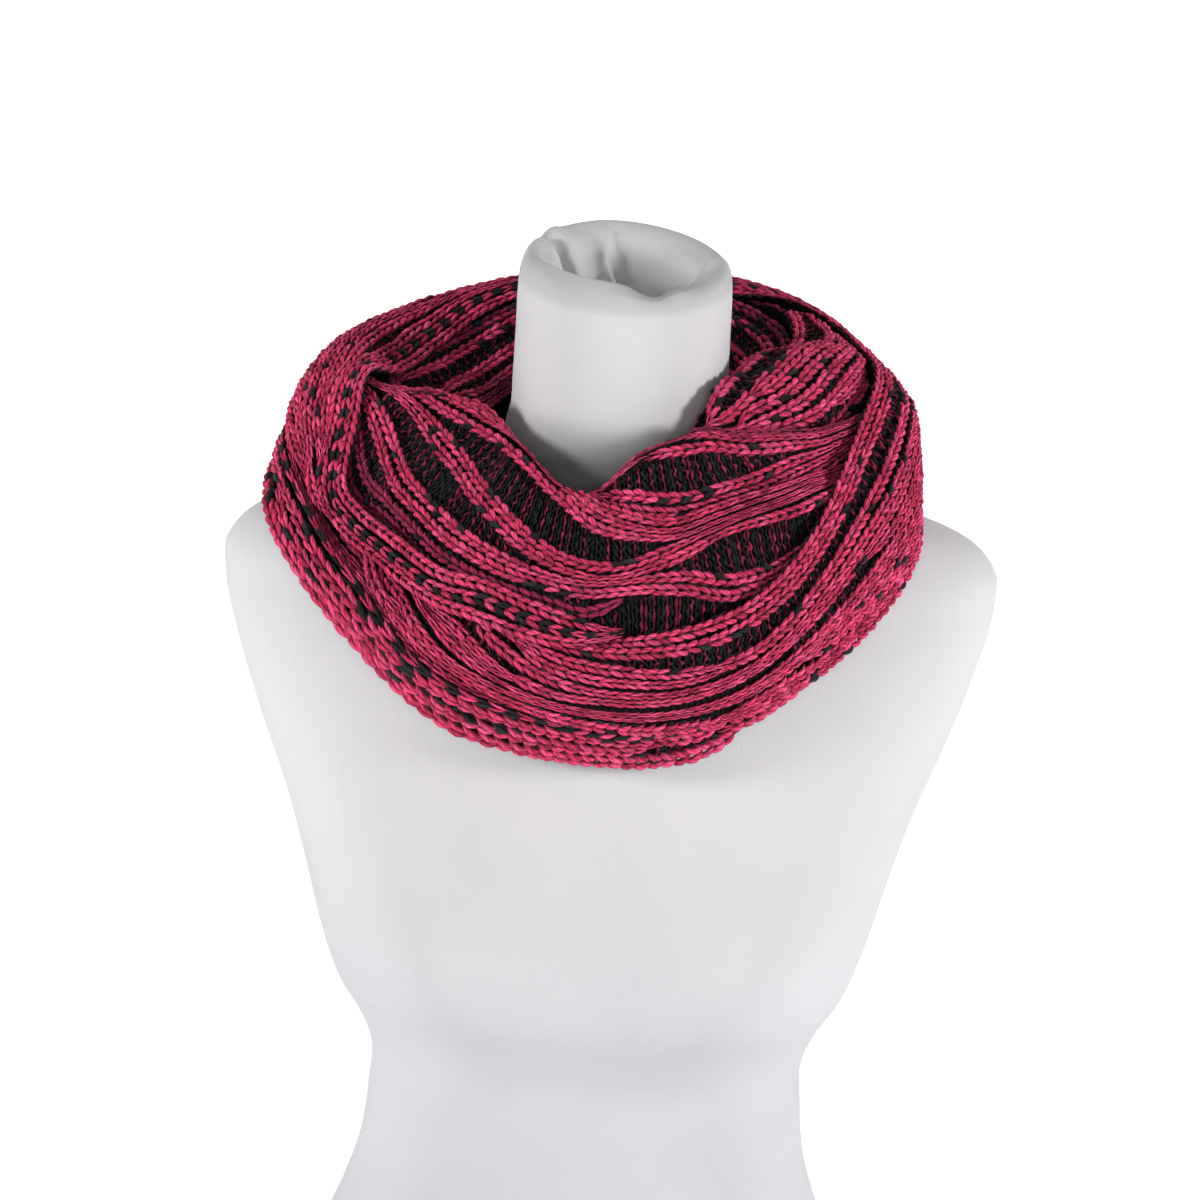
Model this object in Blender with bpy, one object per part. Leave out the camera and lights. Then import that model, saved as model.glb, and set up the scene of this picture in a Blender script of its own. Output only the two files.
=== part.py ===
"""Infinity scarf, worn in two turns, on a limbless dress form.

Frame: metres, +Z up, origin on the form's flat base, in the middle of the whole part's length and width; the front
faces -Y and +X is on the left hand of someone who wears the scarf.

The scarf is one knitted loop. It lies on one ring surface round the neck: a section in the upright half plane at each
azimuth, from inside the neckline (t = 0) over the top (t = 2) and down the outside to the hem (t = 6). Each stretch of
the loop that shows is a wall on that surface. Its key folds are rows of t at azimuth stations, its ribs stand on the
key folds or between them, and a sink takes an edge that is tucked in below its neighbour.
"""
import bpy
import numpy as np
from math import radians

# ---------------------------------------------------------------- driving sizes
WALL = 0.0032            # knitted rib fabric, compressed
RIB_LIFT = 0.0015        # a rib stands this far proud of the ring surface
OPEN_SHARE = 0.16        # an open valley sinks by this share of the distance between its ribs
OPEN_MOST = 0.0035
RING_X, RING_Y = -0.010, -0.005   # centre of the worn ring; it hangs a little to one side
FORM_SIDES = 32          # facets round the form
NECK_SLOPE = 0.25        # the neck top rises to the back
NECK_TOP = 0.627
FORWARD = 0.0068         # the tables are worked out from the form's axis, this far in front of the origin's place

# ---------------------------------------------------------------- the dress form
# one row for each level
#        z    half_width front  back  roundness
FORM = [
    (0.000, 0.1560, 0.1080, 0.1180, 2.25),   # flat base
    (0.030, 0.1550, 0.1080, 0.1180, 2.25),
    (0.070, 0.1460, 0.1040, 0.1120, 2.25),   # hips
    (0.100, 0.1340, 0.0980, 0.1020, 2.25),
    (0.130, 0.1245, 0.0920, 0.0920, 2.25),
    (0.165, 0.1200, 0.0880, 0.0840, 2.25),   # waist
    (0.192, 0.1195, 0.0900, 0.0820, 2.25),
    (0.212, 0.1270, 0.0990, 0.0830, 2.25),
    (0.232, 0.1390, 0.1100, 0.0850, 2.25),
    (0.256, 0.1480, 0.1160, 0.0880, 2.25),   # chest
    (0.296, 0.1590, 0.1160, 0.0930, 2.30),
    (0.335, 0.1705, 0.1120, 0.0980, 2.35),
    (0.380, 0.1870, 0.1040, 0.1020, 2.40),
    (0.420, 0.2000, 0.0940, 0.1020, 2.40),
    (0.450, 0.2070, 0.0810, 0.0990, 2.30),   # shoulders
    (0.472, 0.2050, 0.0720, 0.0940, 2.20),
    (0.487, 0.1880, 0.0640, 0.0880, 2.10),
    (0.498, 0.1580, 0.0590, 0.0830, 2.00),
    (0.509, 0.1190, 0.0565, 0.0770, 2.00),
    (0.517, 0.0870, 0.0550, 0.0720, 2.00),
    (0.527, 0.0670, 0.0540, 0.0670, 2.00),
    (0.543, 0.0590, 0.0530, 0.0625, 2.00),   # foot of the neck
    (0.565, 0.0575, 0.0525, 0.0605, 2.00),
    (0.590, 0.0570, 0.0530, 0.0600, 2.00),
]
# the top of the neck, a row for each ring: height over NECK_TOP, half_width, front, back
NECK = [
    (-0.021, 0.0570, 0.0530, 0.0600),
    (-0.008, 0.0562, 0.0522, 0.0592),
    (-0.002, 0.0535, 0.0495, 0.0565),
    (0.000, 0.0480, 0.0440, 0.0510),     # rim
    (-0.004, 0.0400, 0.0360, 0.0430),
    (-0.012, 0.0330, 0.0290, 0.0350),
    (-0.020, 0.0200, 0.0170, 0.0210),    # the tucked cover
]

# ---------------------------------------------------------------- the ring surface
# one row for each section: azimuth (0 is the front, +90 is +X), then radius and height of seven places
#  azimuth | inner_low     inner_top     crest         upper         bulge         lower         hem
RING = [
    (-180, .079, .548, .083, .588, .094, .607, .110, .603, .127, .582, .136, .530, .124, .480),
    (-150, .079, .546, .086, .585, .098, .603, .113, .601, .130, .583, .140, .535, .133, .487),
    (-125, .074, .535, .094, .565, .118, .586, .136, .586, .152, .568, .161, .535, .158, .505),
    (-105, .072, .536, .096, .551, .130, .572, .149, .570, .164, .553, .172, .525, .173, .505),
    (-90, .072, .538, .089, .549, .119, .562, .142, .554, .160, .537, .170, .516, .1755, .5005),
    (-75, .062, .541, .071, .549, .083, .556, .112, .534, .140, .508, .1605, .490, .1715, .4785),
    (-55, .0575, .531, .0605, .5375, .0645, .5425, .098, .522, .130, .487, .149, .454, .147, .4325),
    (-35, .0625, .512, .064, .524, .067, .5345, .100, .508, .132, .468, .144, .427, .129, .398),
    (-15, .070, .494, .0725, .510, .0755, .519, .103, .494, .131, .456, .140, .416, .119, .387),
    (0, .074, .490, .0765, .508, .081, .517, .105, .4905, .130, .452, .138, .414, .119, .3845),
    (15, .074, .494, .0765, .522, .079, .535, .106, .500, .132, .459, .140, .417, .120, .384),
    (35, .072, .504, .0745, .530, .079, .546, .107, .515, .134, .474, .144, .432, .131, .395),
    (55, .073, .526, .0690, .5615, .085, .5520, .115, .530, .142, .495, .157, .464, .153, .431),
    (75, .076, .540, .0712, .5705, .093, .5730, .126, .556, .158, .532, .171, .507, .175, .484),
    (90, .078, .543, .0785, .5760, .104, .5855, .140, .575, .165, .556, .171, .534, .169, .513),
    (105, .076, .542, .087, .572, .122, .586, .146, .580, .163, .563, .170, .538, .169, .512),
    (125, .078, .547, .092, .580, .119, .600, .138, .598, .154, .580, .162, .545, .158, .508),
    (150, .081, .549, .088, .592, .101, .612, .116, .608, .134, .587, .143, .540, .135, .490),
]

# ---------------------------------------------------------------- the stretches of the loop
# Each has azimuth stations, key folds from the neckline side to the hem side as t at each station, and ribs: name,
# kind and place among the key folds (1.5 is half way between the second and the third). Sinks say how many
# millimetres a key fold lies below the ring surface at each station, where it is tucked in; `all` sinks every fold.
# Azimuths run on past 180 where the loop goes round the back.
FRONT_WRAP = dict(
    stations=(-62, -52, -45, -38, -30, -20, -10, 5, 20, 40, 55, 70, 85, 100, 112),
    folds=dict(
        edge=(4.06, 4.08, 4.05, 4.02, 3.98, 3.95, 3.99, 4.07, 4.15, 4.12, 3.85, 3.52, 3.30, 3.08, 2.84),
        lens=(4.10, 4.12, 4.09, 4.06, 4.03, 4.05, 4.14, 4.33, 4.52, 4.58, 4.18, 3.76, 3.56, 3.36, 3.14),
        valley=(4.14, 4.16, 4.13, 4.11, 4.10, 4.42, 4.66, 4.80, 4.90, 4.88, 4.62, 4.42, 4.28, 4.18, 4.02),
        crease=(4.18, 4.27, 4.26, 4.44, 4.62, 4.76, 4.88, 5.04, 5.14, 5.20, 5.10, 5.02, 4.90, 4.78, 4.58),
        hem_side=(4.22, 4.52, 4.60, 4.66, 4.76, 4.90, 5.04, 5.26, 5.38, 5.62, 5.86, 5.96, 5.90, 5.74, 5.46),
    ),
    sinks=dict(
        edge=(9.5, 9.4, 9.4, 9.2, 9, 9, 9, 7, 0, 0, 0, 0, 0, 0, 0),
        lens=(9, 9, 9, 9, 9, 7.7, 6.2, 0.4, 0, 0, 0, 0, 0, 0, 0),
        valley=(9.5, 9.4, 9.4, 8.6, 7.4, 0, 0, 0, 0, 0, 0, 0, 0, 0, 0),
        crease=(9.5, 9, 7, 0.6, 0, 0, 0, 0, 0, 0, 0, 0, 0, 0, 0),
        hem_side=(9, 1, 0, 0, 0, 0, 0, 0, 0, 0, 0, 0, 0, 0, 0),
    ),
    ribs=(("edge", "edge", 0.0), ("rib_1", "rib", 0.25), ("rib_2", "rib", 0.62), ("lens", "open", 1.0),
          ("rib_3", "rib", 1.22), ("rib_5", "rib", 1.78), ("valley", "open", 2.0), ("rib_6", "rib", 2.22),
          ("rib_8", "rib", 2.80), ("crease", "open", 3.0), ("rib_9", "rib", 3.20), ("rib_11", "rib", 3.82),
          ("end", "edge", 4.0)),
)
UPPER_WRAP = dict(
    stations=(112.3, 125, 145, 165, 180, 200, 220, 240, 255, 265, 275, 285, 295, 305, 315, 325, 335, 345, 355, 362, 367),
    folds=dict(
        edge=(2.84, 2.30, 1.52, 1.46, 1.48, 1.52, 1.54, 1.38, 1.42, 1.66, 2.80, 3.88, 3.98, 3.92, 3.86, 3.80, 3.69,
              3.72, 3.78, 3.87, 3.94),
        lens=(3.14, 2.62, 1.86, 1.78, 1.80, 1.84, 1.86, 1.68, 1.74, 2.00, 3.16, 4.16, 4.24, 4.17, 4.09, 4.03, 3.92,
              3.94, 3.99, 3.99, 3.99),
        outer=(5.46, 5.05, 4.60, 4.30, 4.20, 4.15, 4.15, 4.18, 4.28, 4.36, 4.44, 4.52, 4.45, 4.32, 4.25, 4.20, 4.16,
               4.17, 4.15, 4.07, 4.02),
    ),
    sinks=dict(
        all=(0, 0, 0, 0, 0, 0, 0, 0, 0, 0, 0, 0, 0, 0, 0, 0, 0, 0, 0, 1, 3),
    ),
    ribs=(("edge", "edge", 0.0), ("mixed", "rib", 0.45), ("lens", "open", 1.0), ("rib_3", "rib", 1.12),
          ("rib_5", "rib", 1.34), ("rib_6", "rib", 1.50), ("rib_8", "rib", 1.66), ("rib_9", "rib", 1.82),
          ("end", "edge", 2.0)),
)
LOWER_WRAP = dict(
    stations=(-180, -150, -125, -105, -90, -75, -65, -55, -45, -35, -15, 5, 25, 45, 60, 75, 90, 105, 125, 150),
    folds=dict(
        tucked=(3.95, 3.95, 3.95, 4.05, 4.15, 4.28, 4.39, 4.41, 4.45, 4.52, 4.78, 5.05, 5.20, 5.30, 5.36, 5.36,
                5.30, 5.10, 4.70, 4.20),
        under=(4.28, 4.30, 4.30, 4.40, 4.52, 4.60, 4.60, 4.56, 4.62, 4.76, 5.00, 5.26, 5.38, 5.50, 5.54, 5.52,
               5.46, 5.32, 5.06, 4.66),
        mixed=(5.20, 5.15, 5.05, 4.95, 4.86, 4.77, 4.76, 4.75, 4.86, 4.98, 5.15, 5.36, 5.50, 5.66, 5.72, 5.72,
               5.66, 5.60, 5.45, 5.30),
        hem=(6.0,) * 20,
    ),
    sinks=dict(
        tucked=(8, 8, 8, 8, 8, 8, 8.6, 9.8, 9.6, 9, 9, 10, 11, 6, 2, 2, 2, 4, 8, 8),
        under=(4, 4, 4, 5, 5, 5, 5, 5, 6, 6, 6, 8, 9, 6, 2, 1, 1, 1, 4, 4),
        mixed=(0, 0, 0, 0, 0, 0, 0, 0, 0, 0, 0, 0.5, 2.5, 3, 1, 0, 0, 0, 0, 0),
        all=(0, 0, 0, 0, 0, 0, 0, 0, 0, 0, 0, 0, 0, 5, 7, 6, 7, 7, 4, 0),
    ),
    ribs=(("tucked", "edge", 0.0), ("under", "rib", 1.0), ("rib_c", "rib", 1.55), ("mixed", "rib", 2.0),
          ("hem_a", "rib", 2.45), ("hem", "edge", 3.0)),
)
NECK_DRAPE = dict(
    stations=(-97, -88, -75, -62, -48, -35, -22, -10, 0, 10, 22, 34, 46, 58, 70),
    folds=dict(
        inner=(1.80, 1.62, 1.76, 1.78, 1.72, 1.66, 1.60, 1.84, 2.30, 2.68, 2.96, 3.03, 3.09, 3.23, 3.50),
        top=(1.92, 1.86, 2.12, 2.12, 2.06, 2.04, 1.98, 2.14, 2.47, 2.82, 3.07, 3.13, 3.18, 3.30, 3.58),
        low=(2.04, 2.08, 2.36, 2.39, 2.32, 2.30, 2.27, 2.40, 2.68, 2.94, 3.15, 3.20, 3.25, 3.36, 3.62),
        second=(2.16, 2.22, 2.52, 2.68, 2.78, 2.87, 2.98, 3.12, 3.20, 3.27, 3.25, 3.26, 3.30, 3.42, 3.66),
        second_low=(2.26, 2.32, 2.64, 2.85, 2.95, 3.04, 3.16, 3.26, 3.33, 3.38, 3.37, 3.34, 3.41, 3.55, 3.72),
        third=(2.38, 2.54, 3.05, 3.34, 3.40, 3.40, 3.40, 3.40, 3.41, 3.46, 3.58, 3.82, 3.90, 3.85, 3.74),
        third_low=(2.48, 2.68, 3.25, 3.52, 3.55, 3.54, 3.53, 3.51, 3.52, 3.56, 3.72, 3.98, 4.02, 3.92, 3.78),
        outer=(2.66, 3.10, 4.14, 4.00, 3.98, 3.94, 3.87, 3.88, 4.02, 4.20, 4.34, 4.26, 4.14, 3.98, 3.82),
    ),
    sinks=dict(
        inner=(0, 0, 1, 1, 2, 3, 4, 3, 0, 0, 0, 0, 0, 0, 0),
        third=(0, 0, 0, 0, 0, 0, 0, 0, 0, 0, 0, 2, 6, 8, 3),
        third_low=(0, 0, 0, 0, 0, 0, 0, 0, 0, 0, 1, 6, 9, 10, 3),
        outer=(0, 3, 6, 9.5, 9.5, 9.5, 9.5, 9.5, 12.5, 13.5, 10, 10, 10, 10.5, 3),
        all=(9.8, 6.8, 3, 0, 0, 0, 0, 0, 0, 0, 0, 0, 0, 1.6, 9.2),
    ),
    ribs=(("inner", "edge", 0.0), ("top", "rib", 1.0), ("low", "rib", 2.0), ("open_1", "open", 2.5),
          ("second", "rib", 3.0), ("second_low", "rib", 4.0), ("open_2", "open", 4.5), ("third", "rib", 5.0),
          ("third_low", "rib", 6.0), ("open_3", "open", 6.5), ("outer", "edge", 7.0)),
)
NECK_EDGE = dict(
    stations=(-2, 8, 20, 32, 45, 58, 70, 80),
    folds=dict(
        inner=(1.74, 1.66, 1.66, 1.70, 2.02, 2.42, 3.00, 3.30),
        band=(1.84, 1.90, 1.99, 2.08, 2.20, 2.55, 3.10, 3.34),
        band_low=(1.92, 2.05, 2.18, 2.33, 2.48, 2.76, 3.20, 3.39),
        under_lens=(2.02, 2.40, 2.68, 2.82, 2.88, 2.98, 3.26, 3.46),
        outer=(2.12, 2.76, 3.08, 3.15, 3.20, 3.32, 3.43, 3.54),
    ),
    sinks=dict(
        inner=(2, 3, 3, 3, 0, 0, 1, 3),
        band=(0, 0, 0, 0, 0, 0, 0, 4),
        band_low=(0, 0, 0, 0, 0, 0, 1, 8),
        under_lens=(0, 1, 1, 2, 2, 2, 4, 10),
        outer=(0, 9.6, 9.6, 9.6, 9.6, 9.6, 10, 11),
        all=(1, 0, 0, 0, 0, 0, 0, 0),
    ),
    ribs=(("inner", "edge", 0.0), ("band", "rib", 1.0), ("band_low", "rib", 2.0), ("lens", "open", 2.5),
          ("under_lens", "rib", 3.0), ("outer", "edge", 4.0)),
)
SHOULDER_FAN = dict(
    stations=(44, 52, 60, 72, 84, 96, 108, 118, 128, 136),
    folds=dict(
        inner=(1.66, 1.38, 1.22, 1.14, 1.18, 1.32, 1.52, 1.72, 2.00, 2.25),
        single=(1.78, 1.54, 1.40, 1.32, 1.36, 1.50, 1.70, 1.92, 2.20, 2.40),
        first=(1.90, 1.84, 1.84, 1.88, 1.96, 2.04, 2.14, 2.26, 2.45, 2.55),
        groove=(2.06, 2.16, 2.38, 2.74, 2.76, 2.76, 2.66, 2.58, 2.66, 2.72),
        outer=(2.15, 2.36, 2.62, 3.06, 3.14, 3.16, 3.06, 2.95, 2.90, 2.90),
    ),
    sinks=dict(
        inner=(2, 2, 2, 2, 2, 2, 2, 2, 5, 9),
        single=(0, 0, 0, 0, 0, 0, 0, 1, 8, 10),
        first=(0, 0, 0, 0, 0, 0, 0, 3, 10, 11),
        groove=(3, 4, 2, 0, 0, 0, 2, 8, 11, 11),
        outer=(3, 8, 11, 11.5, 11, 11, 11, 11, 11, 11),
        all=(6, 2, 0, 0, 0, 0, 0, 0, 0, 0),
    ),
    ribs=(("inner", "edge", 0.0), ("single", "rib", 1.0), ("open", "open", 1.5), ("first", "rib", 2.0),
          ("third", "rib", 2.6), ("groove", "open", 3.0), ("fifth", "rib", 3.25), ("outer", "edge", 4.0)),
)
INNER_WRAP = dict(
    stations=(-180, -150, -125, -105, -90, -75, -55, -35, -15, 10, 35, 55, 75, 95, 115, 140),
    folds=dict(
        low=(0.10,) * 16,
        slant=(0.40, 0.35, 0.35, 0.60, 0.80, 0.75, 0.60, 0.50, 0.45, 0.45, 0.48, 0.44, 0.42, 0.45, 0.40, 0.40),
        high=(1.30, 1.30, 1.38, 1.48, 1.42, 1.02, 0.92, 1.00, 0.94, 0.92, 0.86, 0.68, 0.66, 0.98, 1.60, 1.62),
    ),
    sinks=dict(
        high=(2, 2, 4, 5, 6, 4, 2, 0, 0, 0, -0.5, -2, -2, 3, 8, 5),
        all=(1, 1, 1, 1, 1, 1, 1, 1, 1, 1, 0, -0.6, 0, 1, 1, 1),
    ),
    ribs=(("low", "edge", 0.0), ("rib_a", "rib", 0.6), ("slant", "rib", 1.0), ("open", "open", 1.45),
          ("rib_c", "rib", 1.75), ("high", "edge", 2.0)),
)
# name, table, steps along the loop, closed ring, colour
STRETCHES = [
    ("lower_wrap", LOWER_WRAP, 52, True, (0.52, 0.035, 0.13, 1.0)),
    ("front_wrap", FRONT_WRAP, 30, False, (0.55, 0.04, 0.14, 1.0)),
    ("upper_wrap", UPPER_WRAP, 42, False, (0.57, 0.04, 0.15, 1.0)),
    ("neck_drape", NECK_DRAPE, 24, False, (0.50, 0.035, 0.12, 1.0)),
    ("neck_edge", NECK_EDGE, 13, False, (0.54, 0.04, 0.14, 1.0)),
    ("shoulder_fan", SHOULDER_FAN, 15, False, (0.56, 0.045, 0.15, 1.0)),
    ("inner_wrap", INNER_WRAP, 44, True, (0.35, 0.03, 0.09, 1.0)),
]


# ---------------------------------------------------------------- curves through stations
def slopes(x, y):
    """Slope at each station of a smooth curve through them; y may have further axes."""
    shape = (-1,) + (1,) * (y.ndim - 1)
    step = np.diff(x).reshape(shape)
    d = np.diff(y, axis=0) / step
    m = np.empty_like(y)
    m[1:-1] = (d[:-1] * step[1:] + d[1:] * step[:-1]) / (step[:-1] + step[1:])
    m[0], m[-1] = d[0], d[-1]
    return m


def through(x, y, at):
    """The curve through (x, y) read at the places `at`."""
    x, y, at = np.asarray(x, float), np.asarray(y, float), np.asarray(at, float)
    m = slopes(x, y)
    i = np.clip(np.searchsorted(x, at, side="right") - 1, 0, len(x) - 2)
    h = (x[i + 1] - x[i]).reshape((-1,) + (1,) * (y.ndim - 1))
    s = ((at - x[i]) / (x[i + 1] - x[i])).reshape(h.shape)
    return ((2 * s**3 - 3 * s**2 + 1) * y[i] + (s**3 - 2 * s**2 + s) * h * m[i]
            + (-2 * s**3 + 3 * s**2) * y[i + 1] + (s**3 - s**2) * h * m[i + 1])


def gentle(x, y, at):
    """A curve through (x, y) that never runs past its own stations, for sinks."""
    x, y, at = np.asarray(x, float), np.asarray(y, float), np.asarray(at, float)
    i = np.clip(np.searchsorted(x, at, side="right") - 1, 0, len(x) - 2)
    s = np.clip((at - x[i]) / (x[i + 1] - x[i]), 0, 1)
    return y[i] + (y[i + 1] - y[i]) * s * s * (3 - 2 * s)


def round_the_ring(rows):
    rows = np.array(rows, float)
    x = np.concatenate([rows[-2:, 0] - 360, rows[:, 0], rows[:3, 0] + 360])
    return x, np.concatenate([rows[-2:], rows, rows[:3]])[:, 1:]


RING_X_AT, RING_SECTIONS = round_the_ring(RING)


def ring_point(azimuth, t):
    """Points of the ring surface; azimuth in degrees."""
    azimuth, t = np.broadcast_arrays(np.asarray(azimuth, float), np.asarray(t, float))
    a, t1 = azimuth.ravel(), np.clip(t.ravel(), -0.4, 6.4)
    wrapped = (a + 180) % 360 - 180
    section = through(RING_X_AT, RING_SECTIONS, wrapped).reshape(-1, 7, 2)
    k = np.clip(np.floor(t1).astype(int), 0, 5)
    s = (t1 - k)[:, None]
    n = np.arange(len(k))
    p1, p2 = section[n, k], section[n, k + 1]
    p0 = np.where((k > 0)[:, None], section[n, np.maximum(k - 1, 0)], 2 * p1 - p2)
    p3 = np.where((k < 5)[:, None], section[n, np.minimum(k + 2, 6)], 2 * p2 - p1)
    q = 0.5 * (2 * p1 + (p2 - p0) * s + (2 * p0 - 5 * p1 + 4 * p2 - p3) * s**2 + (3 * p1 - p0 - 3 * p2 + p3) * s**3)
    r, z = q[:, 0], q[:, 1]
    w = np.radians(a)
    out = np.stack([RING_X + r * np.sin(w), RING_Y - r * np.cos(w), z], -1)
    return out.reshape(azimuth.shape + (3,))


def ring_normal(azimuth, t):
    """Outward normals of the ring surface."""
    du = ring_point(azimuth + 1.0, t) - ring_point(azimuth - 1.0, t)
    dv = ring_point(azimuth, t + 0.12) - ring_point(azimuth, t - 0.12)
    n = np.cross(dv, du)
    return n / np.linalg.norm(n, axis=-1, keepdims=True)


# ---------------------------------------------------------------- a stretch of the loop
def stretch_rows(table, azimuth, closed):
    """t and sink of each rib row along the stretch: two arrays, along x rows."""
    st = np.array(table["stations"], float)
    folds = np.array(list(table["folds"].values()), float).T
    sinks = {k: np.array(v, float) for k, v in table["sinks"].items()}
    if closed:
        st = np.concatenate([st[-2:] - 360, st, st[:3] + 360])
        folds = np.concatenate([folds[-2:], folds, folds[:3]])
        sinks = {k: np.concatenate([v[-2:], v, v[:3]]) for k, v in sinks.items()}
    keys = through(st, folds, azimuth)
    depth = np.stack([gentle(st, sinks.get(k, 0 * st) + sinks.get("all", 0 * st), azimuth) for k in table["folds"]], -1)
    place = np.array([r[2] for r in table["ribs"]])
    k = np.clip(np.floor(place).astype(int), 0, keys.shape[1] - 2)
    f = place - k
    t = keys[:, k] * (1 - f) + keys[:, k + 1] * f
    f = f * f * (3 - 2 * f)
    sink = depth[:, k] * (1 - f) + depth[:, k + 1] * f
    return t, sink * 0.001


def stretch_mesh(name, table, steps, closed):
    st = table["stations"]
    first, last = (st[0], st[0] + 360) if closed else (st[0], st[-1])
    azimuth = np.linspace(first, last, steps + 1)[: steps if closed else steps + 1]
    t, sink = stretch_rows(table, azimuth, closed)
    kinds = [r[1] for r in table["ribs"]]
    a = np.repeat(azimuth[:, None], t.shape[1], 1)
    base, normal = ring_point(a, t), ring_normal(a, t)
    lift = np.zeros_like(t)
    for j, kind in enumerate(kinds):
        if kind == "rib":
            lift[:, j] = RIB_LIFT
        elif kind == "open":
            gap = np.linalg.norm(base[:, j + 1] - base[:, j - 1], axis=-1)
            lift[:, j] = -np.minimum(OPEN_MOST, OPEN_SHARE * gap)
    outer = base + normal * (lift - sink)[..., None]
    inner = outer - normal * WALL
    n, m = t.shape
    points = np.concatenate([outer.reshape(-1, 3), inner.reshape(-1, 3)])
    at = lambda i, j, side: (i % n) * m + j + side * n * m
    faces = []
    for i in range(n if closed else n - 1):
        for j in range(m - 1):
            faces.append((at(i, j, 0), at(i + 1, j, 0), at(i + 1, j + 1, 0), at(i, j + 1, 0)))
            faces.append((at(i, j, 1), at(i, j + 1, 1), at(i + 1, j + 1, 1), at(i + 1, j, 1)))
        faces.append((at(i, 0, 0), at(i, 0, 1), at(i + 1, 0, 1), at(i + 1, 0, 0)))
        faces.append((at(i, m - 1, 0), at(i + 1, m - 1, 0), at(i + 1, m - 1, 1), at(i, m - 1, 1)))
    if not closed:
        for j in range(m - 1):
            faces.append((at(0, j, 0), at(0, j + 1, 0), at(0, j + 1, 1), at(0, j, 1)))
            faces.append((at(n - 1, j, 0), at(n - 1, j, 1), at(n - 1, j + 1, 1), at(n - 1, j + 1, 0)))
    return points, [f[::-1] for f in faces]


# ---------------------------------------------------------------- the form
def form_ring(z, half, front, back, power, slope=0.0):
    w = np.linspace(0, 2 * np.pi, FORM_SIDES, endpoint=False)
    c, s = np.cos(w), np.sin(w)
    x = half * np.sign(c) * np.abs(c) ** (2 / power)
    y = np.where(s > 0, back, front) * np.sign(s) * np.abs(s) ** (2 / power)
    chest = 0.011 * np.exp(-((np.abs(x) - 0.092) / 0.046) ** 2 - ((z - 0.262) / 0.042) ** 2)
    y = y - np.where(s < -0.05, chest, 0.0)
    return np.stack([x, y, z + slope * y], -1)


def form_mesh():
    rings = [form_ring(*row) for row in FORM]
    for up, half, front, back in NECK:
        rings.append(form_ring(NECK_TOP + up, half, front, back, 2.0, NECK_SLOPE if up > -0.02 else 0.15))
    points = np.concatenate(rings + [rings[-1].mean(0)[None]])
    n = FORM_SIDES
    faces = [tuple(range(n))[::-1]]
    for k in range(len(rings) - 1):
        for i in range(n):
            j = (i + 1) % n
            faces.append((k * n + i, k * n + j, (k + 1) * n + j, (k + 1) * n + i))
    top = len(points) - 1
    k = (len(rings) - 1) * n
    for i in range(n):
        faces.append((k + i, k + (i + 1) % n, top))
    return points, faces


# ---------------------------------------------------------------- the scene's objects
def plain_material(name, colour, roughness):
    m = bpy.data.materials.new(name)
    m.use_nodes = True
    shader = m.node_tree.nodes["Principled BSDF"]
    shader.inputs["Base Color"].default_value = colour
    shader.inputs["Roughness"].default_value = roughness
    shader.inputs["Metallic"].default_value = 0.0
    return m


def make(name, points, faces, material, folder):
    mesh = bpy.data.meshes.new(name)
    mesh.from_pydata([(x, y + FORWARD, z) for x, y, z in points], [], faces)
    mesh.validate()
    mesh.shade_smooth()
    mesh.set_sharp_from_angle(angle=radians(50))
    mesh.materials.append(material)
    ob = bpy.data.objects.new(name, mesh)
    folder.objects.link(ob)
    return ob


def main():
    for ob in list(bpy.data.objects):
        bpy.data.objects.remove(ob, do_unlink=True)
    folder = bpy.data.collections.new("infinity_scarf")
    bpy.context.scene.collection.children.link(folder)
    make("dress_form", *form_mesh(), plain_material("jersey", (0.70, 0.69, 0.71, 1.0), 0.85), folder)
    for name, table, steps, closed, colour in STRETCHES:
        make(name, *stretch_mesh(name, table, steps, closed), plain_material("knit_" + name, colour, 0.9), folder)


main()
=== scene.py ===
"""Looks of the infinity scarf on its dress form: knitted stitches, jersey, floor, light and camera."""
import bpy
import math
import numpy as np
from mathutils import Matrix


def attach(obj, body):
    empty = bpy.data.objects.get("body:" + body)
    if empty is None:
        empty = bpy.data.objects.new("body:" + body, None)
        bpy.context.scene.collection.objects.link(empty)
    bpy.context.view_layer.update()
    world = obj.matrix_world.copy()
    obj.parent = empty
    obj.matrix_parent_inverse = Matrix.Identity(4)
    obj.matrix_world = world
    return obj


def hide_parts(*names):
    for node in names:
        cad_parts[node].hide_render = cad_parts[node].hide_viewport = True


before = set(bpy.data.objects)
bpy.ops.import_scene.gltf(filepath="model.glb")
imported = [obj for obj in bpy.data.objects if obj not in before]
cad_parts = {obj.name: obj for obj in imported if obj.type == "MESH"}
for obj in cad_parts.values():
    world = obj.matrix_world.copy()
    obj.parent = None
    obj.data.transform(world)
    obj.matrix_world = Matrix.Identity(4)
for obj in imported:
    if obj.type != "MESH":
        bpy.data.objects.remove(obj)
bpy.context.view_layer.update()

RNG = np.random.default_rng(11)

# ---------------------------------------------------------------- driving sizes, metres
FORWARD = 0.0068
RING_X, RING_Y = -0.010, -0.005
NECK_SLOPE = 0.25
NECK_TOP = 0.627
CLOTH = 0.0020           # the cloth under the stitches
ROOF = -0.0012           # height of that cloth under a rib, over the ring surface
STITCH = 0.0060          # one stitch along a rib
LEG = 1.62               # leg of a stitch over its pitch
YARN = 0.00142           # half thickness of the yarn where a rib has its full width
COLUMN = 0.0076          # full width of a rib column
STRAND = 0.0022          # distance between the strands in an open valley

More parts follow.
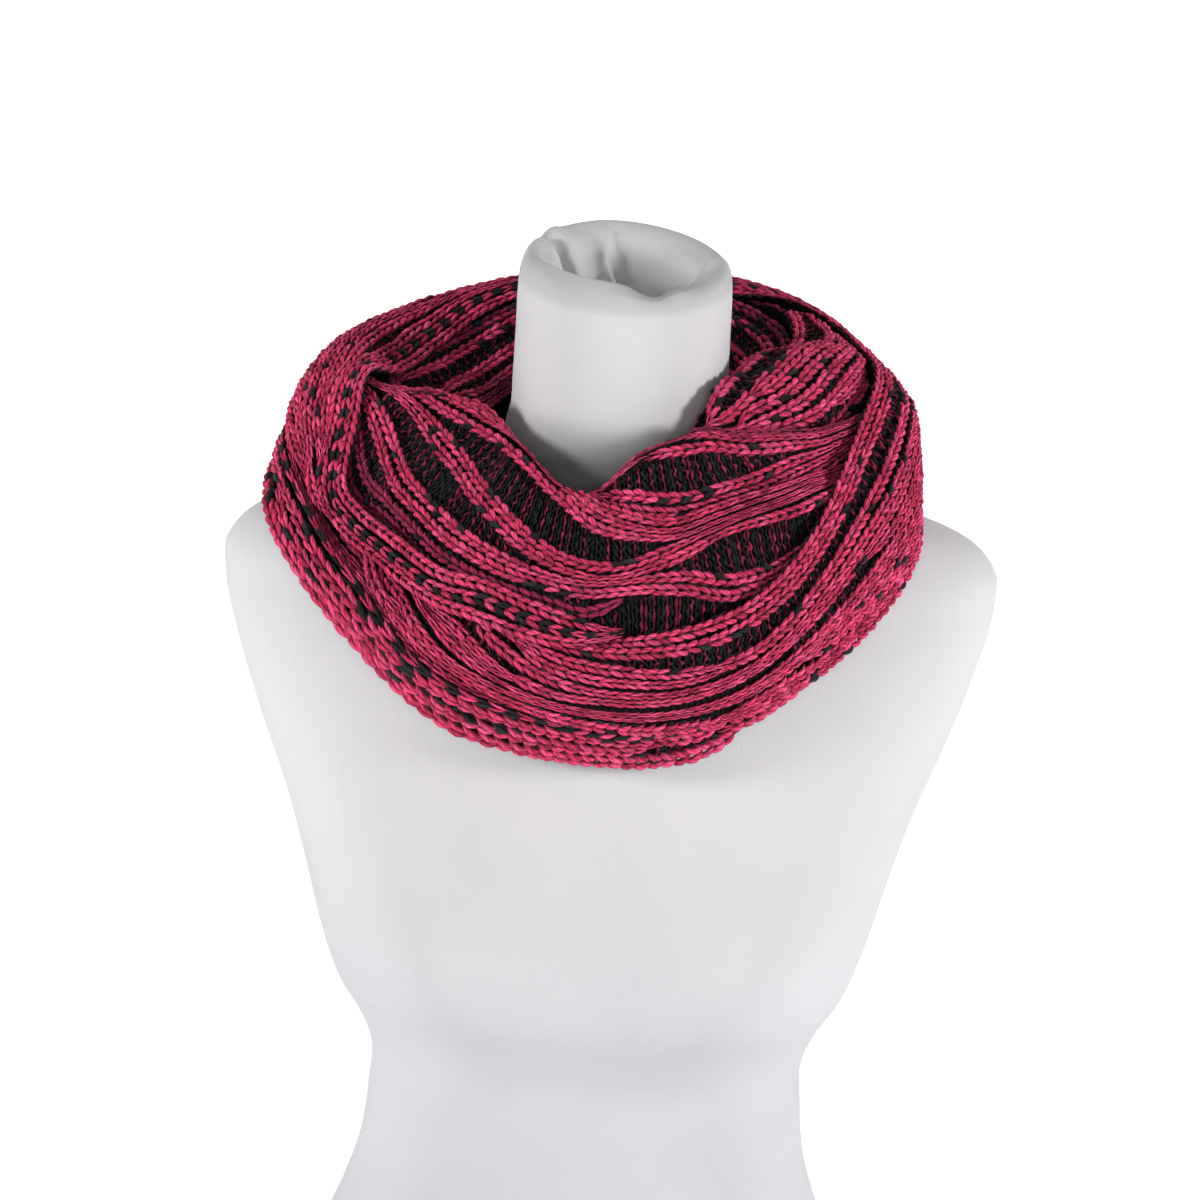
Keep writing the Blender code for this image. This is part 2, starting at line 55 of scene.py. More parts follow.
# ---------------------------------------------------------------- the dress form
# one row for each level
#        z    half_width front  back  roundness
FORM = [
    (0.000, 0.1560, 0.1080, 0.1180, 2.25),   # flat base
    (0.030, 0.1550, 0.1080, 0.1180, 2.25),
    (0.070, 0.1460, 0.1040, 0.1120, 2.25),   # hips
    (0.100, 0.1340, 0.0980, 0.1020, 2.25),
    (0.130, 0.1245, 0.0920, 0.0920, 2.25),
    (0.165, 0.1200, 0.0880, 0.0840, 2.25),   # waist
    (0.192, 0.1195, 0.0900, 0.0820, 2.25),
    (0.212, 0.1270, 0.0990, 0.0830, 2.25),
    (0.232, 0.1390, 0.1100, 0.0850, 2.25),
    (0.256, 0.1480, 0.1160, 0.0880, 2.25),   # chest
    (0.296, 0.1590, 0.1160, 0.0930, 2.30),
    (0.335, 0.1705, 0.1120, 0.0980, 2.35),
    (0.380, 0.1870, 0.1040, 0.1020, 2.40),
    (0.420, 0.2000, 0.0940, 0.1020, 2.40),
    (0.450, 0.2070, 0.0810, 0.0990, 2.30),   # shoulders
    (0.472, 0.2050, 0.0720, 0.0940, 2.20),
    (0.487, 0.1880, 0.0640, 0.0880, 2.10),
    (0.498, 0.1580, 0.0590, 0.0830, 2.00),
    (0.509, 0.1190, 0.0565, 0.0770, 2.00),
    (0.517, 0.0870, 0.0550, 0.0720, 2.00),
    (0.527, 0.0670, 0.0540, 0.0670, 2.00),
    (0.543, 0.0590, 0.0530, 0.0625, 2.00),   # foot of the neck
    (0.565, 0.0575, 0.0525, 0.0605, 2.00),
    (0.590, 0.0570, 0.0530, 0.0600, 2.00),
]
# the top of the neck, a row for each ring: height over NECK_TOP, half_width, front, back
NECK = [
    (-0.021, 0.0570, 0.0530, 0.0600),
    (-0.008, 0.0562, 0.0522, 0.0592),
    (-0.002, 0.0535, 0.0495, 0.0565),
    (0.000, 0.0480, 0.0440, 0.0510),     # rim
    (-0.004, 0.0400, 0.0360, 0.0430),
    (-0.012, 0.0330, 0.0290, 0.0350),
    (-0.020, 0.0200, 0.0170, 0.0210),    # the tucked cover
]

# ---------------------------------------------------------------- the ring surface
# one row for each section: azimuth (0 is the front, +90 is +X), then radius and height of seven places
#  azimuth | inner_low     inner_top     crest         upper         bulge         lower         hem
RING = [
    (-180, .079, .548, .083, .588, .094, .607, .110, .603, .127, .582, .136, .530, .124, .480),
    (-150, .079, .546, .086, .585, .098, .603, .113, .601, .130, .583, .140, .535, .133, .487),
    (-125, .074, .535, .094, .565, .118, .586, .136, .586, .152, .568, .161, .535, .158, .505),
    (-105, .072, .536, .096, .551, .130, .572, .149, .570, .164, .553, .172, .525, .173, .505),
    (-90, .072, .538, .089, .549, .119, .562, .142, .554, .160, .537, .170, .516, .1755, .5005),
    (-75, .062, .541, .071, .549, .083, .556, .112, .534, .140, .508, .1605, .490, .1715, .4785),
    (-55, .0575, .531, .0605, .5375, .0645, .5425, .098, .522, .130, .487, .149, .454, .147, .4325),
    (-35, .0625, .512, .064, .524, .067, .5345, .100, .508, .132, .468, .144, .427, .129, .398),
    (-15, .070, .494, .0725, .510, .0755, .519, .103, .494, .131, .456, .140, .416, .119, .387),
    (0, .074, .490, .0765, .508, .081, .517, .105, .4905, .130, .452, .138, .414, .119, .3845),
    (15, .074, .494, .0765, .522, .079, .535, .106, .500, .132, .459, .140, .417, .120, .384),
    (35, .072, .504, .0745, .530, .079, .546, .107, .515, .134, .474, .144, .432, .131, .395),
    (55, .073, .526, .0690, .5615, .085, .5520, .115, .530, .142, .495, .157, .464, .153, .431),
    (75, .076, .540, .0712, .5705, .093, .5730, .126, .556, .158, .532, .171, .507, .175, .484),
    (90, .078, .543, .0785, .5760, .104, .5855, .140, .575, .165, .556, .171, .534, .169, .513),
    (105, .076, .542, .087, .572, .122, .586, .146, .580, .163, .563, .170, .538, .169, .512),
    (125, .078, .547, .092, .580, .119, .600, .138, .598, .154, .580, .162, .545, .158, .508),
    (150, .081, .549, .088, .592, .101, .612, .116, .608, .134, .587, .143, .540, .135, .490),
]

# ---------------------------------------------------------------- the stretches of the loop
# Each has azimuth stations, key folds from the neckline side to the hem side as t at each station, and ribs: name,
# kind and place among the key folds (1.5 is half way between the second and the third). Sinks say how many
# millimetres a key fold lies below the ring surface at each station, where it is tucked in; `all` sinks every fold.
# Azimuths run on past 180 where the loop goes round the back.
FRONT_WRAP = dict(
    stations=(-62, -52, -45, -38, -30, -20, -10, 5, 20, 40, 55, 70, 85, 100, 112),
    folds=dict(
        edge=(4.06, 4.08, 4.05, 4.02, 3.98, 3.95, 3.99, 4.07, 4.15, 4.12, 3.85, 3.52, 3.30, 3.08, 2.84),
        lens=(4.10, 4.12, 4.09, 4.06, 4.03, 4.05, 4.14, 4.33, 4.52, 4.58, 4.18, 3.76, 3.56, 3.36, 3.14),
        valley=(4.14, 4.16, 4.13, 4.11, 4.10, 4.42, 4.66, 4.80, 4.90, 4.88, 4.62, 4.42, 4.28, 4.18, 4.02),
        crease=(4.18, 4.27, 4.26, 4.44, 4.62, 4.76, 4.88, 5.04, 5.14, 5.20, 5.10, 5.02, 4.90, 4.78, 4.58),
        hem_side=(4.22, 4.52, 4.60, 4.66, 4.76, 4.90, 5.04, 5.26, 5.38, 5.62, 5.86, 5.96, 5.90, 5.74, 5.46),
    ),
    sinks=dict(
        edge=(9.5, 9.4, 9.4, 9.2, 9, 9, 9, 7, 0, 0, 0, 0, 0, 0, 0),
        lens=(9, 9, 9, 9, 9, 7.7, 6.2, 0.4, 0, 0, 0, 0, 0, 0, 0),
        valley=(9.5, 9.4, 9.4, 8.6, 7.4, 0, 0, 0, 0, 0, 0, 0, 0, 0, 0),
        crease=(9.5, 9, 7, 0.6, 0, 0, 0, 0, 0, 0, 0, 0, 0, 0, 0),
        hem_side=(9, 1, 0, 0, 0, 0, 0, 0, 0, 0, 0, 0, 0, 0, 0),
    ),
    ribs=(("edge", "edge", 0.0), ("rib_1", "rib", 0.25), ("rib_2", "rib", 0.62), ("lens", "open", 1.0),
          ("rib_3", "rib", 1.22), ("rib_5", "rib", 1.78), ("valley", "open", 2.0), ("rib_6", "rib", 2.22),
          ("rib_8", "rib", 2.80), ("crease", "open", 3.0), ("rib_9", "rib", 3.20), ("rib_11", "rib", 3.82),
          ("end", "edge", 4.0)),
)
UPPER_WRAP = dict(
    stations=(112.3, 125, 145, 165, 180, 200, 220, 240, 255, 265, 275, 285, 295, 305, 315, 325, 335, 345, 355, 362, 367),
    folds=dict(
        edge=(2.84, 2.30, 1.52, 1.46, 1.48, 1.52, 1.54, 1.38, 1.42, 1.66, 2.80, 3.88, 3.98, 3.92, 3.86, 3.80, 3.69,
              3.72, 3.78, 3.87, 3.94),
        lens=(3.14, 2.62, 1.86, 1.78, 1.80, 1.84, 1.86, 1.68, 1.74, 2.00, 3.16, 4.16, 4.24, 4.17, 4.09, 4.03, 3.92,
              3.94, 3.99, 3.99, 3.99),
        outer=(5.46, 5.05, 4.60, 4.30, 4.20, 4.15, 4.15, 4.18, 4.28, 4.36, 4.44, 4.52, 4.45, 4.32, 4.25, 4.20, 4.16,
               4.17, 4.15, 4.07, 4.02),
    ),
    sinks=dict(
        all=(0, 0, 0, 0, 0, 0, 0, 0, 0, 0, 0, 0, 0, 0, 0, 0, 0, 0, 0, 1, 3),
    ),
    ribs=(("edge", "edge", 0.0), ("mixed", "rib", 0.45), ("lens", "open", 1.0), ("rib_3", "rib", 1.12),
          ("rib_5", "rib", 1.34), ("rib_6", "rib", 1.50), ("rib_8", "rib", 1.66), ("rib_9", "rib", 1.82),
          ("end", "edge", 2.0)),
)
LOWER_WRAP = dict(
    stations=(-180, -150, -125, -105, -90, -75, -65, -55, -45, -35, -15, 5, 25, 45, 60, 75, 90, 105, 125, 150),
    folds=dict(
        tucked=(3.95, 3.95, 3.95, 4.05, 4.15, 4.28, 4.39, 4.41, 4.45, 4.52, 4.78, 5.05, 5.20, 5.30, 5.36, 5.36,
                5.30, 5.10, 4.70, 4.20),
        under=(4.28, 4.30, 4.30, 4.40, 4.52, 4.60, 4.60, 4.56, 4.62, 4.76, 5.00, 5.26, 5.38, 5.50, 5.54, 5.52,
               5.46, 5.32, 5.06, 4.66),
        mixed=(5.20, 5.15, 5.05, 4.95, 4.86, 4.77, 4.76, 4.75, 4.86, 4.98, 5.15, 5.36, 5.50, 5.66, 5.72, 5.72,
               5.66, 5.60, 5.45, 5.30),
        hem=(6.0,) * 20,
    ),
    sinks=dict(
        tucked=(8, 8, 8, 8, 8, 8, 8.6, 9.8, 9.6, 9, 9, 10, 11, 6, 2, 2, 2, 4, 8, 8),
        under=(4, 4, 4, 5, 5, 5, 5, 5, 6, 6, 6, 8, 9, 6, 2, 1, 1, 1, 4, 4),
        mixed=(0, 0, 0, 0, 0, 0, 0, 0, 0, 0, 0, 0.5, 2.5, 3, 1, 0, 0, 0, 0, 0),
        all=(0, 0, 0, 0, 0, 0, 0, 0, 0, 0, 0, 0, 0, 5, 7, 6, 7, 7, 4, 0),
    ),
    ribs=(("tucked", "edge", 0.0), ("under", "rib", 1.0), ("rib_c", "rib", 1.55), ("mixed", "rib", 2.0),
          ("hem_a", "rib", 2.45), ("hem", "edge", 3.0)),
)
NECK_DRAPE = dict(
    stations=(-97, -88, -75, -62, -48, -35, -22, -10, 0, 10, 22, 34, 46, 58, 70),
    folds=dict(
        inner=(1.80, 1.62, 1.76, 1.78, 1.72, 1.66, 1.60, 1.84, 2.30, 2.68, 2.96, 3.03, 3.09, 3.23, 3.50),
        top=(1.92, 1.86, 2.12, 2.12, 2.06, 2.04, 1.98, 2.14, 2.47, 2.82, 3.07, 3.13, 3.18, 3.30, 3.58),
        low=(2.04, 2.08, 2.36, 2.39, 2.32, 2.30, 2.27, 2.40, 2.68, 2.94, 3.15, 3.20, 3.25, 3.36, 3.62),
        second=(2.16, 2.22, 2.52, 2.68, 2.78, 2.87, 2.98, 3.12, 3.20, 3.27, 3.25, 3.26, 3.30, 3.42, 3.66),
        second_low=(2.26, 2.32, 2.64, 2.85, 2.95, 3.04, 3.16, 3.26, 3.33, 3.38, 3.37, 3.34, 3.41, 3.55, 3.72),
        third=(2.38, 2.54, 3.05, 3.34, 3.40, 3.40, 3.40, 3.40, 3.41, 3.46, 3.58, 3.82, 3.90, 3.85, 3.74),
        third_low=(2.48, 2.68, 3.25, 3.52, 3.55, 3.54, 3.53, 3.51, 3.52, 3.56, 3.72, 3.98, 4.02, 3.92, 3.78),
        outer=(2.66, 3.10, 4.14, 4.00, 3.98, 3.94, 3.87, 3.88, 4.02, 4.20, 4.34, 4.26, 4.14, 3.98, 3.82),
    ),
    sinks=dict(
        inner=(0, 0, 1, 1, 2, 3, 4, 3, 0, 0, 0, 0, 0, 0, 0),
        third=(0, 0, 0, 0, 0, 0, 0, 0, 0, 0, 0, 2, 6, 8, 3),
        third_low=(0, 0, 0, 0, 0, 0, 0, 0, 0, 0, 1, 6, 9, 10, 3),
        outer=(0, 3, 6, 9.5, 9.5, 9.5, 9.5, 9.5, 12.5, 13.5, 10, 10, 10, 10.5, 3),
        all=(9.8, 6.8, 3, 0, 0, 0, 0, 0, 0, 0, 0, 0, 0, 1.6, 9.2),
    ),
    ribs=(("inner", "edge", 0.0), ("top", "rib", 1.0), ("low", "rib", 2.0), ("open_1", "open", 2.5),
          ("second", "rib", 3.0), ("second_low", "rib", 4.0), ("open_2", "open", 4.5), ("third", "rib", 5.0),
          ("third_low", "rib", 6.0), ("open_3", "open", 6.5), ("outer", "edge", 7.0)),
)
NECK_EDGE = dict(
    stations=(-2, 8, 20, 32, 45, 58, 70, 80),
    folds=dict(
        inner=(1.74, 1.66, 1.66, 1.70, 2.02, 2.42, 3.00, 3.30),
        band=(1.84, 1.90, 1.99, 2.08, 2.20, 2.55, 3.10, 3.34),
        band_low=(1.92, 2.05, 2.18, 2.33, 2.48, 2.76, 3.20, 3.39),
        under_lens=(2.02, 2.40, 2.68, 2.82, 2.88, 2.98, 3.26, 3.46),
        outer=(2.12, 2.76, 3.08, 3.15, 3.20, 3.32, 3.43, 3.54),
    ),
    sinks=dict(
        inner=(2, 3, 3, 3, 0, 0, 1, 3),
        band=(0, 0, 0, 0, 0, 0, 0, 4),
        band_low=(0, 0, 0, 0, 0, 0, 1, 8),
        under_lens=(0, 1, 1, 2, 2, 2, 4, 10),
        outer=(0, 9.6, 9.6, 9.6, 9.6, 9.6, 10, 11),
        all=(1, 0, 0, 0, 0, 0, 0, 0),
    ),
    ribs=(("inner", "edge", 0.0), ("band", "rib", 1.0), ("band_low", "rib", 2.0), ("lens", "open", 2.5),
          ("under_lens", "rib", 3.0), ("outer", "edge", 4.0)),
)
SHOULDER_FAN = dict(
    stations=(44, 52, 60, 72, 84, 96, 108, 118, 128, 136),
    folds=dict(
        inner=(1.66, 1.38, 1.22, 1.14, 1.18, 1.32, 1.52, 1.72, 2.00, 2.25),
        single=(1.78, 1.54, 1.40, 1.32, 1.36, 1.50, 1.70, 1.92, 2.20, 2.40),
        first=(1.90, 1.84, 1.84, 1.88, 1.96, 2.04, 2.14, 2.26, 2.45, 2.55),
        groove=(2.06, 2.16, 2.38, 2.74, 2.76, 2.76, 2.66, 2.58, 2.66, 2.72),
        outer=(2.15, 2.36, 2.62, 3.06, 3.14, 3.16, 3.06, 2.95, 2.90, 2.90),
    ),
    sinks=dict(
        inner=(2, 2, 2, 2, 2, 2, 2, 2, 5, 9),
        single=(0, 0, 0, 0, 0, 0, 0, 1, 8, 10),
        first=(0, 0, 0, 0, 0, 0, 0, 3, 10, 11),
        groove=(3, 4, 2, 0, 0, 0, 2, 8, 11, 11),
        outer=(3, 8, 11, 11.5, 11, 11, 11, 11, 11, 11),
        all=(6, 2, 0, 0, 0, 0, 0, 0, 0, 0),
    ),
    ribs=(("inner", "edge", 0.0), ("single", "rib", 1.0), ("open", "open", 1.5), ("first", "rib", 2.0),
          ("third", "rib", 2.6), ("groove", "open", 3.0), ("fifth", "rib", 3.25), ("outer", "edge", 4.0)),
)
INNER_WRAP = dict(
    stations=(-180, -150, -125, -105, -90, -75, -55, -35, -15, 10, 35, 55, 75, 95, 115, 140),
    folds=dict(
        low=(0.10,) * 16,
        slant=(0.40, 0.35, 0.35, 0.60, 0.80, 0.75, 0.60, 0.50, 0.45, 0.45, 0.48, 0.44, 0.42, 0.45, 0.40, 0.40),
        high=(1.30, 1.30, 1.38, 1.48, 1.42, 1.02, 0.92, 1.00, 0.94, 0.92, 0.86, 0.68, 0.66, 0.98, 1.60, 1.62),
    ),
    sinks=dict(
        high=(2, 2, 4, 5, 6, 4, 2, 0, 0, 0, -0.5, -2, -2, 3, 8, 5),
        all=(1, 1, 1, 1, 1, 1, 1, 1, 1, 1, 0, -0.6, 0, 1, 1, 1),
    ),
    ribs=(("low", "edge", 0.0), ("rib_a", "rib", 0.6), ("slant", "rib", 1.0), ("open", "open", 1.45),
          ("rib_c", "rib", 1.75), ("high", "edge", 2.0)),
)
# ---------------------------------------------------------------- curves through stations
def slopes(x, y):
    """Slope at each station of a smooth curve through them; y may have further axes."""
    shape = (-1,) + (1,) * (y.ndim - 1)
    step = np.diff(x).reshape(shape)
    d = np.diff(y, axis=0) / step
    m = np.empty_like(y)
    m[1:-1] = (d[:-1] * step[1:] + d[1:] * step[:-1]) / (step[:-1] + step[1:])
    m[0], m[-1] = d[0], d[-1]
    return m


def through(x, y, at):
    """The curve through (x, y) read at the places `at`."""
    x, y, at = np.asarray(x, float), np.asarray(y, float), np.asarray(at, float)
    m = slopes(x, y)
    i = np.clip(np.searchsorted(x, at, side="right") - 1, 0, len(x) - 2)
    h = (x[i + 1] - x[i]).reshape((-1,) + (1,) * (y.ndim - 1))
    s = ((at - x[i]) / (x[i + 1] - x[i])).reshape(h.shape)
    return ((2 * s**3 - 3 * s**2 + 1) * y[i] + (s**3 - 2 * s**2 + s) * h * m[i]
            + (-2 * s**3 + 3 * s**2) * y[i + 1] + (s**3 - s**2) * h * m[i + 1])


def gentle(x, y, at):
    """A curve through (x, y) that never runs past its own stations, for sinks."""
    x, y, at = np.asarray(x, float), np.asarray(y, float), np.asarray(at, float)
    i = np.clip(np.searchsorted(x, at, side="right") - 1, 0, len(x) - 2)
    s = np.clip((at - x[i]) / (x[i + 1] - x[i]), 0, 1)
    return y[i] + (y[i + 1] - y[i]) * s * s * (3 - 2 * s)


def round_the_ring(rows):
    rows = np.array(rows, float)
    x = np.concatenate([rows[-2:, 0] - 360, rows[:, 0], rows[:3, 0] + 360])
    return x, np.concatenate([rows[-2:], rows, rows[:3]])[:, 1:]


RING_X_AT, RING_SECTIONS = round_the_ring(RING)


def ring_point(azimuth, t):
    """Points of the ring surface; azimuth in degrees."""
    azimuth, t = np.broadcast_arrays(np.asarray(azimuth, float), np.asarray(t, float))
    a, t1 = azimuth.ravel(), np.clip(t.ravel(), -0.4, 6.4)
    wrapped = (a + 180) % 360 - 180
    section = through(RING_X_AT, RING_SECTIONS, wrapped).reshape(-1, 7, 2)
    k = np.clip(np.floor(t1).astype(int), 0, 5)
    s = (t1 - k)[:, None]
    n = np.arange(len(k))
    p1, p2 = section[n, k], section[n, k + 1]
    p0 = np.where((k > 0)[:, None], section[n, np.maximum(k - 1, 0)], 2 * p1 - p2)
    p3 = np.where((k < 5)[:, None], section[n, np.minimum(k + 2, 6)], 2 * p2 - p1)
    q = 0.5 * (2 * p1 + (p2 - p0) * s + (2 * p0 - 5 * p1 + 4 * p2 - p3) * s**2 + (3 * p1 - p0 - 3 * p2 + p3) * s**3)
    r, z = q[:, 0], q[:, 1]
    w = np.radians(a)
    out = np.stack([RING_X + r * np.sin(w), RING_Y - r * np.cos(w), z], -1)
    return out.reshape(azimuth.shape + (3,))


def ring_normal(azimuth, t):
    """Outward normals of the ring surface."""
    du = ring_point(azimuth + 1.0, t) - ring_point(azimuth - 1.0, t)
    dv = ring_point(azimuth, t + 0.12) - ring_point(azimuth, t - 0.12)
    n = np.cross(dv, du)
    return n / np.linalg.norm(n, axis=-1, keepdims=True)


# ---------------------------------------------------------------- rib columns of each stretch
# A row is either one column: (kind, its place among the key folds at each station), or a run of columns:
# (kind, place it starts from, place it ends at, how many show at each station). None and the columns that a count
# leaves out have run in under their neighbour.
# Kinds: pink, mixed (pink and charcoal by turns), and the kind for columns in the shade, drawn in a darker pink as
# painted shade.
COLUMNS = dict(
    front_wrap=((-62, -52, -45, -38, -30, -20, -10, 5, 20, 40, 55, 70, 85, 100, 112), [
        ("pink", (0.05, 0.05, 0.05, 0.05, 0.05, 0.05, 0.05, 0.08, 0.08, 0.08, 0.08, 0.06, 0.05, 0.05, 0.05)),
        ("pink", (0.80, 0.80, 0.80, 0.80, 0.80, 0.80, 0.70, 0.60, 0.52, 0.42, 0.54, 0.62, 0.68, 0.76, 0.85)),
        ("pink", ((1.20, 1.20, 1.20, 1.20, 1.20, 1.20, 1.20, 1.20, 1.22, 1.30, 1.42, 1.44, 1.40, 1.28, 1.15)),
                 (1.84, 1.84, 1.84, 1.80, 1.72, 1.70, 1.76) + (1.84,) * 8,
                 (1, 1, 1, 1, 1, 2, 3, 3, 3, 2, 2, 2, 2, 3, 3)),
        ("pink", ((2.15, 2.18, 2.30, 2.38, 2.36, 2.30, 2.22, 2.15, 2.15, 2.15, 2.15, 2.15, 2.15, 2.15, 2.15)),
                 ((2.85, 2.76, 2.68, 2.68, 2.76, 2.80, 2.82, 2.82, 2.82, 2.84, 2.85, 2.85, 2.85, 2.85, 2.85)),
                 (1, 1, 2, 3, 3, 3, 2, 2, 2, 2, 2, 3, 3, 3, 3)),
        ("pink", ((3.14, 3.38, 3.42, 3.42, 3.34, 3.26, 3.20, 3.16, 3.14, 3.14, 3.14, 3.14, 3.14, 3.14, 3.14)),
                 ((3.99,) * 15), (1, 2, 3, 2, 2, 2, 2, 2, 2, 3, 4, 4, 4, 4, 4)),
    ]),
    upper_wrap=((112.3, 125, 145, 165, 180, 200, 220, 240, 255, 265, 275, 285, 295, 305, 367), [
        ("pink", (0.05, 0.02, 0.02, 0.02, 0.02, 0.02, 0.02, 0.02, 0.04, 0.06, 0.10, 0.20, 0.24, 0.24, 0.24)),
        ("mixed", (None, 0.70, 0.80, 0.80, 0.80, 0.80, 0.80, 0.60, 0.52, 0.60, 0.70, 0.86, 0.94, 0.94, 0.94)),
        ("pink", (0.85, 1.04, 1.06, 1.07, 1.08, 1.09, 1.08, 1.03, 0.98, 1.04, 1.12, 1.50, 1.68, 1.72, 1.72)),
        ("pink", ((1.05, 1.14, 1.15, 1.17, 1.18, 1.20, 1.19, 1.15, 1.12, 1.16, 1.30, 1.92, None, None, None)),
                 ((1.99,) * 15), (10, 10, 10, 8, 7, 7, 7, 8, 8, 7, 5, 1, 0, 0, 0)),
    ]),
    lower_wrap=((-180, -150, -125, -105, -90, -75, -65, -55, -45, -35, -15, 5, 25, 45, 60, 75, 90, 105, 125, 150, 180), [
        ("deep", 0.10, 1.00, (3, 3, 2, 2, 2, 2, 2, 2, 2, 2, 2, 2, 2, 2, 2, 1, 1, 2, 3, 3, 3)),
        ("pink", ((1.14, 1.16, 1.25, 1.33, 1.50, 1.50, 1.50, 1.50, 1.50, 1.50, 1.50, 1.50, 1.50, 1.50, 1.50, 1.50, 1.50,
                   1.50, 1.50, 1.20, 1.14)),
                 ((1.86, 1.84, 1.75, 1.67, 1.50, 1.50, 1.50, 1.50, 1.50, 1.50, 1.50, 1.50, 1.50, 1.50, 1.50, 1.50, 1.50,
                   1.50, 1.50, 1.80, 1.86)),
                 (6, 5, 3, 2, 1, 1, 1, 1, 1, 1, 1, 0, 0, 0, 0, 0, 0, 0, 1, 4, 6)),
        ("mixed", (2.00,) * 21),
        ("pink", ((2.16, 2.16, 2.24, 2.32, 2.32, 2.25, 2.24, 2.20, 2.20, 2.20, 2.21, 2.26, 2.34, 2.48, 2.60, 2.95, 2.95,
                   2.50, 2.36, 2.22, 2.20)),
                 ((2.95,) * 21), (5, 5, 3, 3, 2, 3, 3, 3, 3, 3, 3, 3, 2, 1, 1, 1, 1, 1, 2, 4, 5)),
    ]),
    neck_drape=((-97, -62, -35, -5, 15, 35, 70), [
        ("pink", (0.10, 0.10, 0.10, 0.10, 0.10, 0.10, 0.10)),
        ("pink", (1.00, 1.00, 1.00, 1.00, 1.00, 1.00, 1.00)),
        ("pink", (2.00, 1.92, 1.92, 1.92, 2.00, 2.00, 2.00)),
        ("pink", (3.00, 3.02, 3.02, 3.00, 3.00, 3.00, 3.00)),
        ("pink", (4.00, 3.94, 3.94, 4.00, 4.00, 4.00, 4.00)),
        ("pink", (5.00, 5.00, 5.00, 5.00, 5.00, 5.00, 5.00)),
        ("pink", (6.00, 5.96, 5.96, 6.00, 6.00, 6.00, 6.00)),
        ("deep", (6.45, 6.36, 6.38, 6.42, None, None, None)),
        ("deep", (6.80, 6.68, 6.74, 6.84, 7.00, 7.00, 7.00)),
    ]),
    neck_edge=((-2, 20, 45, 62, 80), [
        ("deep", (0.10, 0.10, 0.10, 0.10, 0.10)),
        ("pink", (0.95, 0.95, 0.98, 0.98, 0.90)),
        ("pink", (1.90, 1.96, 1.80, 1.90, 1.90)),
        ("pink", (3.00, 3.00, 3.00, 3.00, 3.00)),
        ("pink", (3.42, 3.34, 3.38, 3.40, 3.40)),
        ("pink", (3.84, 3.68, 3.76, 3.80, 3.80)),
    ]),
    shoulder_fan=((44, 52, 60, 72, 84, 96, 108, 118, 136), [
        ("pink", (0.70, 0.55, 0.50, 0.50, 0.50, 0.50, 0.55, 0.70, 0.90)),
        ("pink", 2.04, 2.82, (1, 2, 3, 4, 4, 4, 3, 2, 1)),
        ("pink", 3.22, 3.90, (1, 1, 2, 2, 3, 3, 2, 2, 1)),
    ]),
    inner_wrap=((-180, -120, -90, -60, -20, 20, 90, 180), [
        ("deep", (0.05, 0.05, 0.05, 0.05, 0.05, 0.05, 0.05, 0.05)),
        ("deep", (0.55, 0.55, 0.55, 0.55, 0.55, 0.55, 0.55, 0.55)),
        ("pink", (1.02, 1.02, 1.04, 1.04, 1.04, 1.04, 1.04, 1.02)),
        ("pink", 1.28, 1.70, (3, 2, 0, 0, 1, 1, 2, 3)),
        ("deep", (1.96, 1.96, 1.96, 1.96, 1.96, 1.96, 1.96, 1.96)),
    ]),
)


def spread_columns(name):
    """Stations, the kind of every column and its place at each station, NaN where it has run in."""
    st, rows = COLUMNS[name]
    kinds, place = [], []
    for row in rows:
        if len(row) == 2:
            kinds.append(row[0])
            place.append([np.nan if v is None else v for v in row[1]])
            continue
        kind, lo, hi, counts = row
        most = max(counts)
        block = np.full((most, len(st)), np.nan)
        for i, n in enumerate(counts):
            if n == 0:
                continue
            a = lo[i] if isinstance(lo, tuple) else lo
            b = hi[i] if isinstance(hi, tuple) else hi
            at = [most // 2] if n == 1 else np.round(np.linspace(0, most - 1, n)).astype(int)
            block[at, i] = [(a + b) / 2 if a != b and n == 1 and a < 2.9 else b] if n == 1 else np.linspace(a, b, n)
        kinds += [kind] * most
        place += list(block)
    return np.array(st, float), kinds, np.array(place, float)


# stitches that are larger than the others
LARGER = dict(lower_wrap=1.36, shoulder_fan=1.05)
# how long the stitches are along a stretch, where the cloth is pulled: azimuths and lengths over the usual one
PULLED = dict(lower_wrap=((-180, -110, -85, -65, -50, -30, -10, 20, 180), (1.0, 1.0, 1.2, 1.45, 1.5, 1.3, 1.0, 0.95, 1.0)),
              front_wrap=((-62, -50, -30, -15, 0, 112), (1.3, 1.3, 1.25, 1.1, 1.0, 1.0)))
# how much of its room a column fills, where it is more than usual
FULLER = dict(shoulder_fan=1.05, front_wrap=1.00, lower_wrap=1.05)
# where a stretch reaches further under its neighbour: azimuths, how far past its last fold, and how much deeper in mm
TUCKED = dict(neck_edge=((-2, 56, 62, 70, 76, 80), (0.0, 0.0, 0.5, 0.5, 0.0, 0.0), (0, 0, 0, 0, 0, 0)),
              shoulder_fan=((44, 62, 72, 84, 100, 110, 136), (0.0, 0.0, 0.75, 0.90, 0.75, 0.0, 0.0), (0, 0, 0, 0, 0, 0, 0)),
              neck_drape=((-97, -84, -76, -50, -38, 70), (0.0, 0.0, 0.55, 0.45, 0.0, 0.0), (0, 0, 3.0, 2.5, 0, 0)))
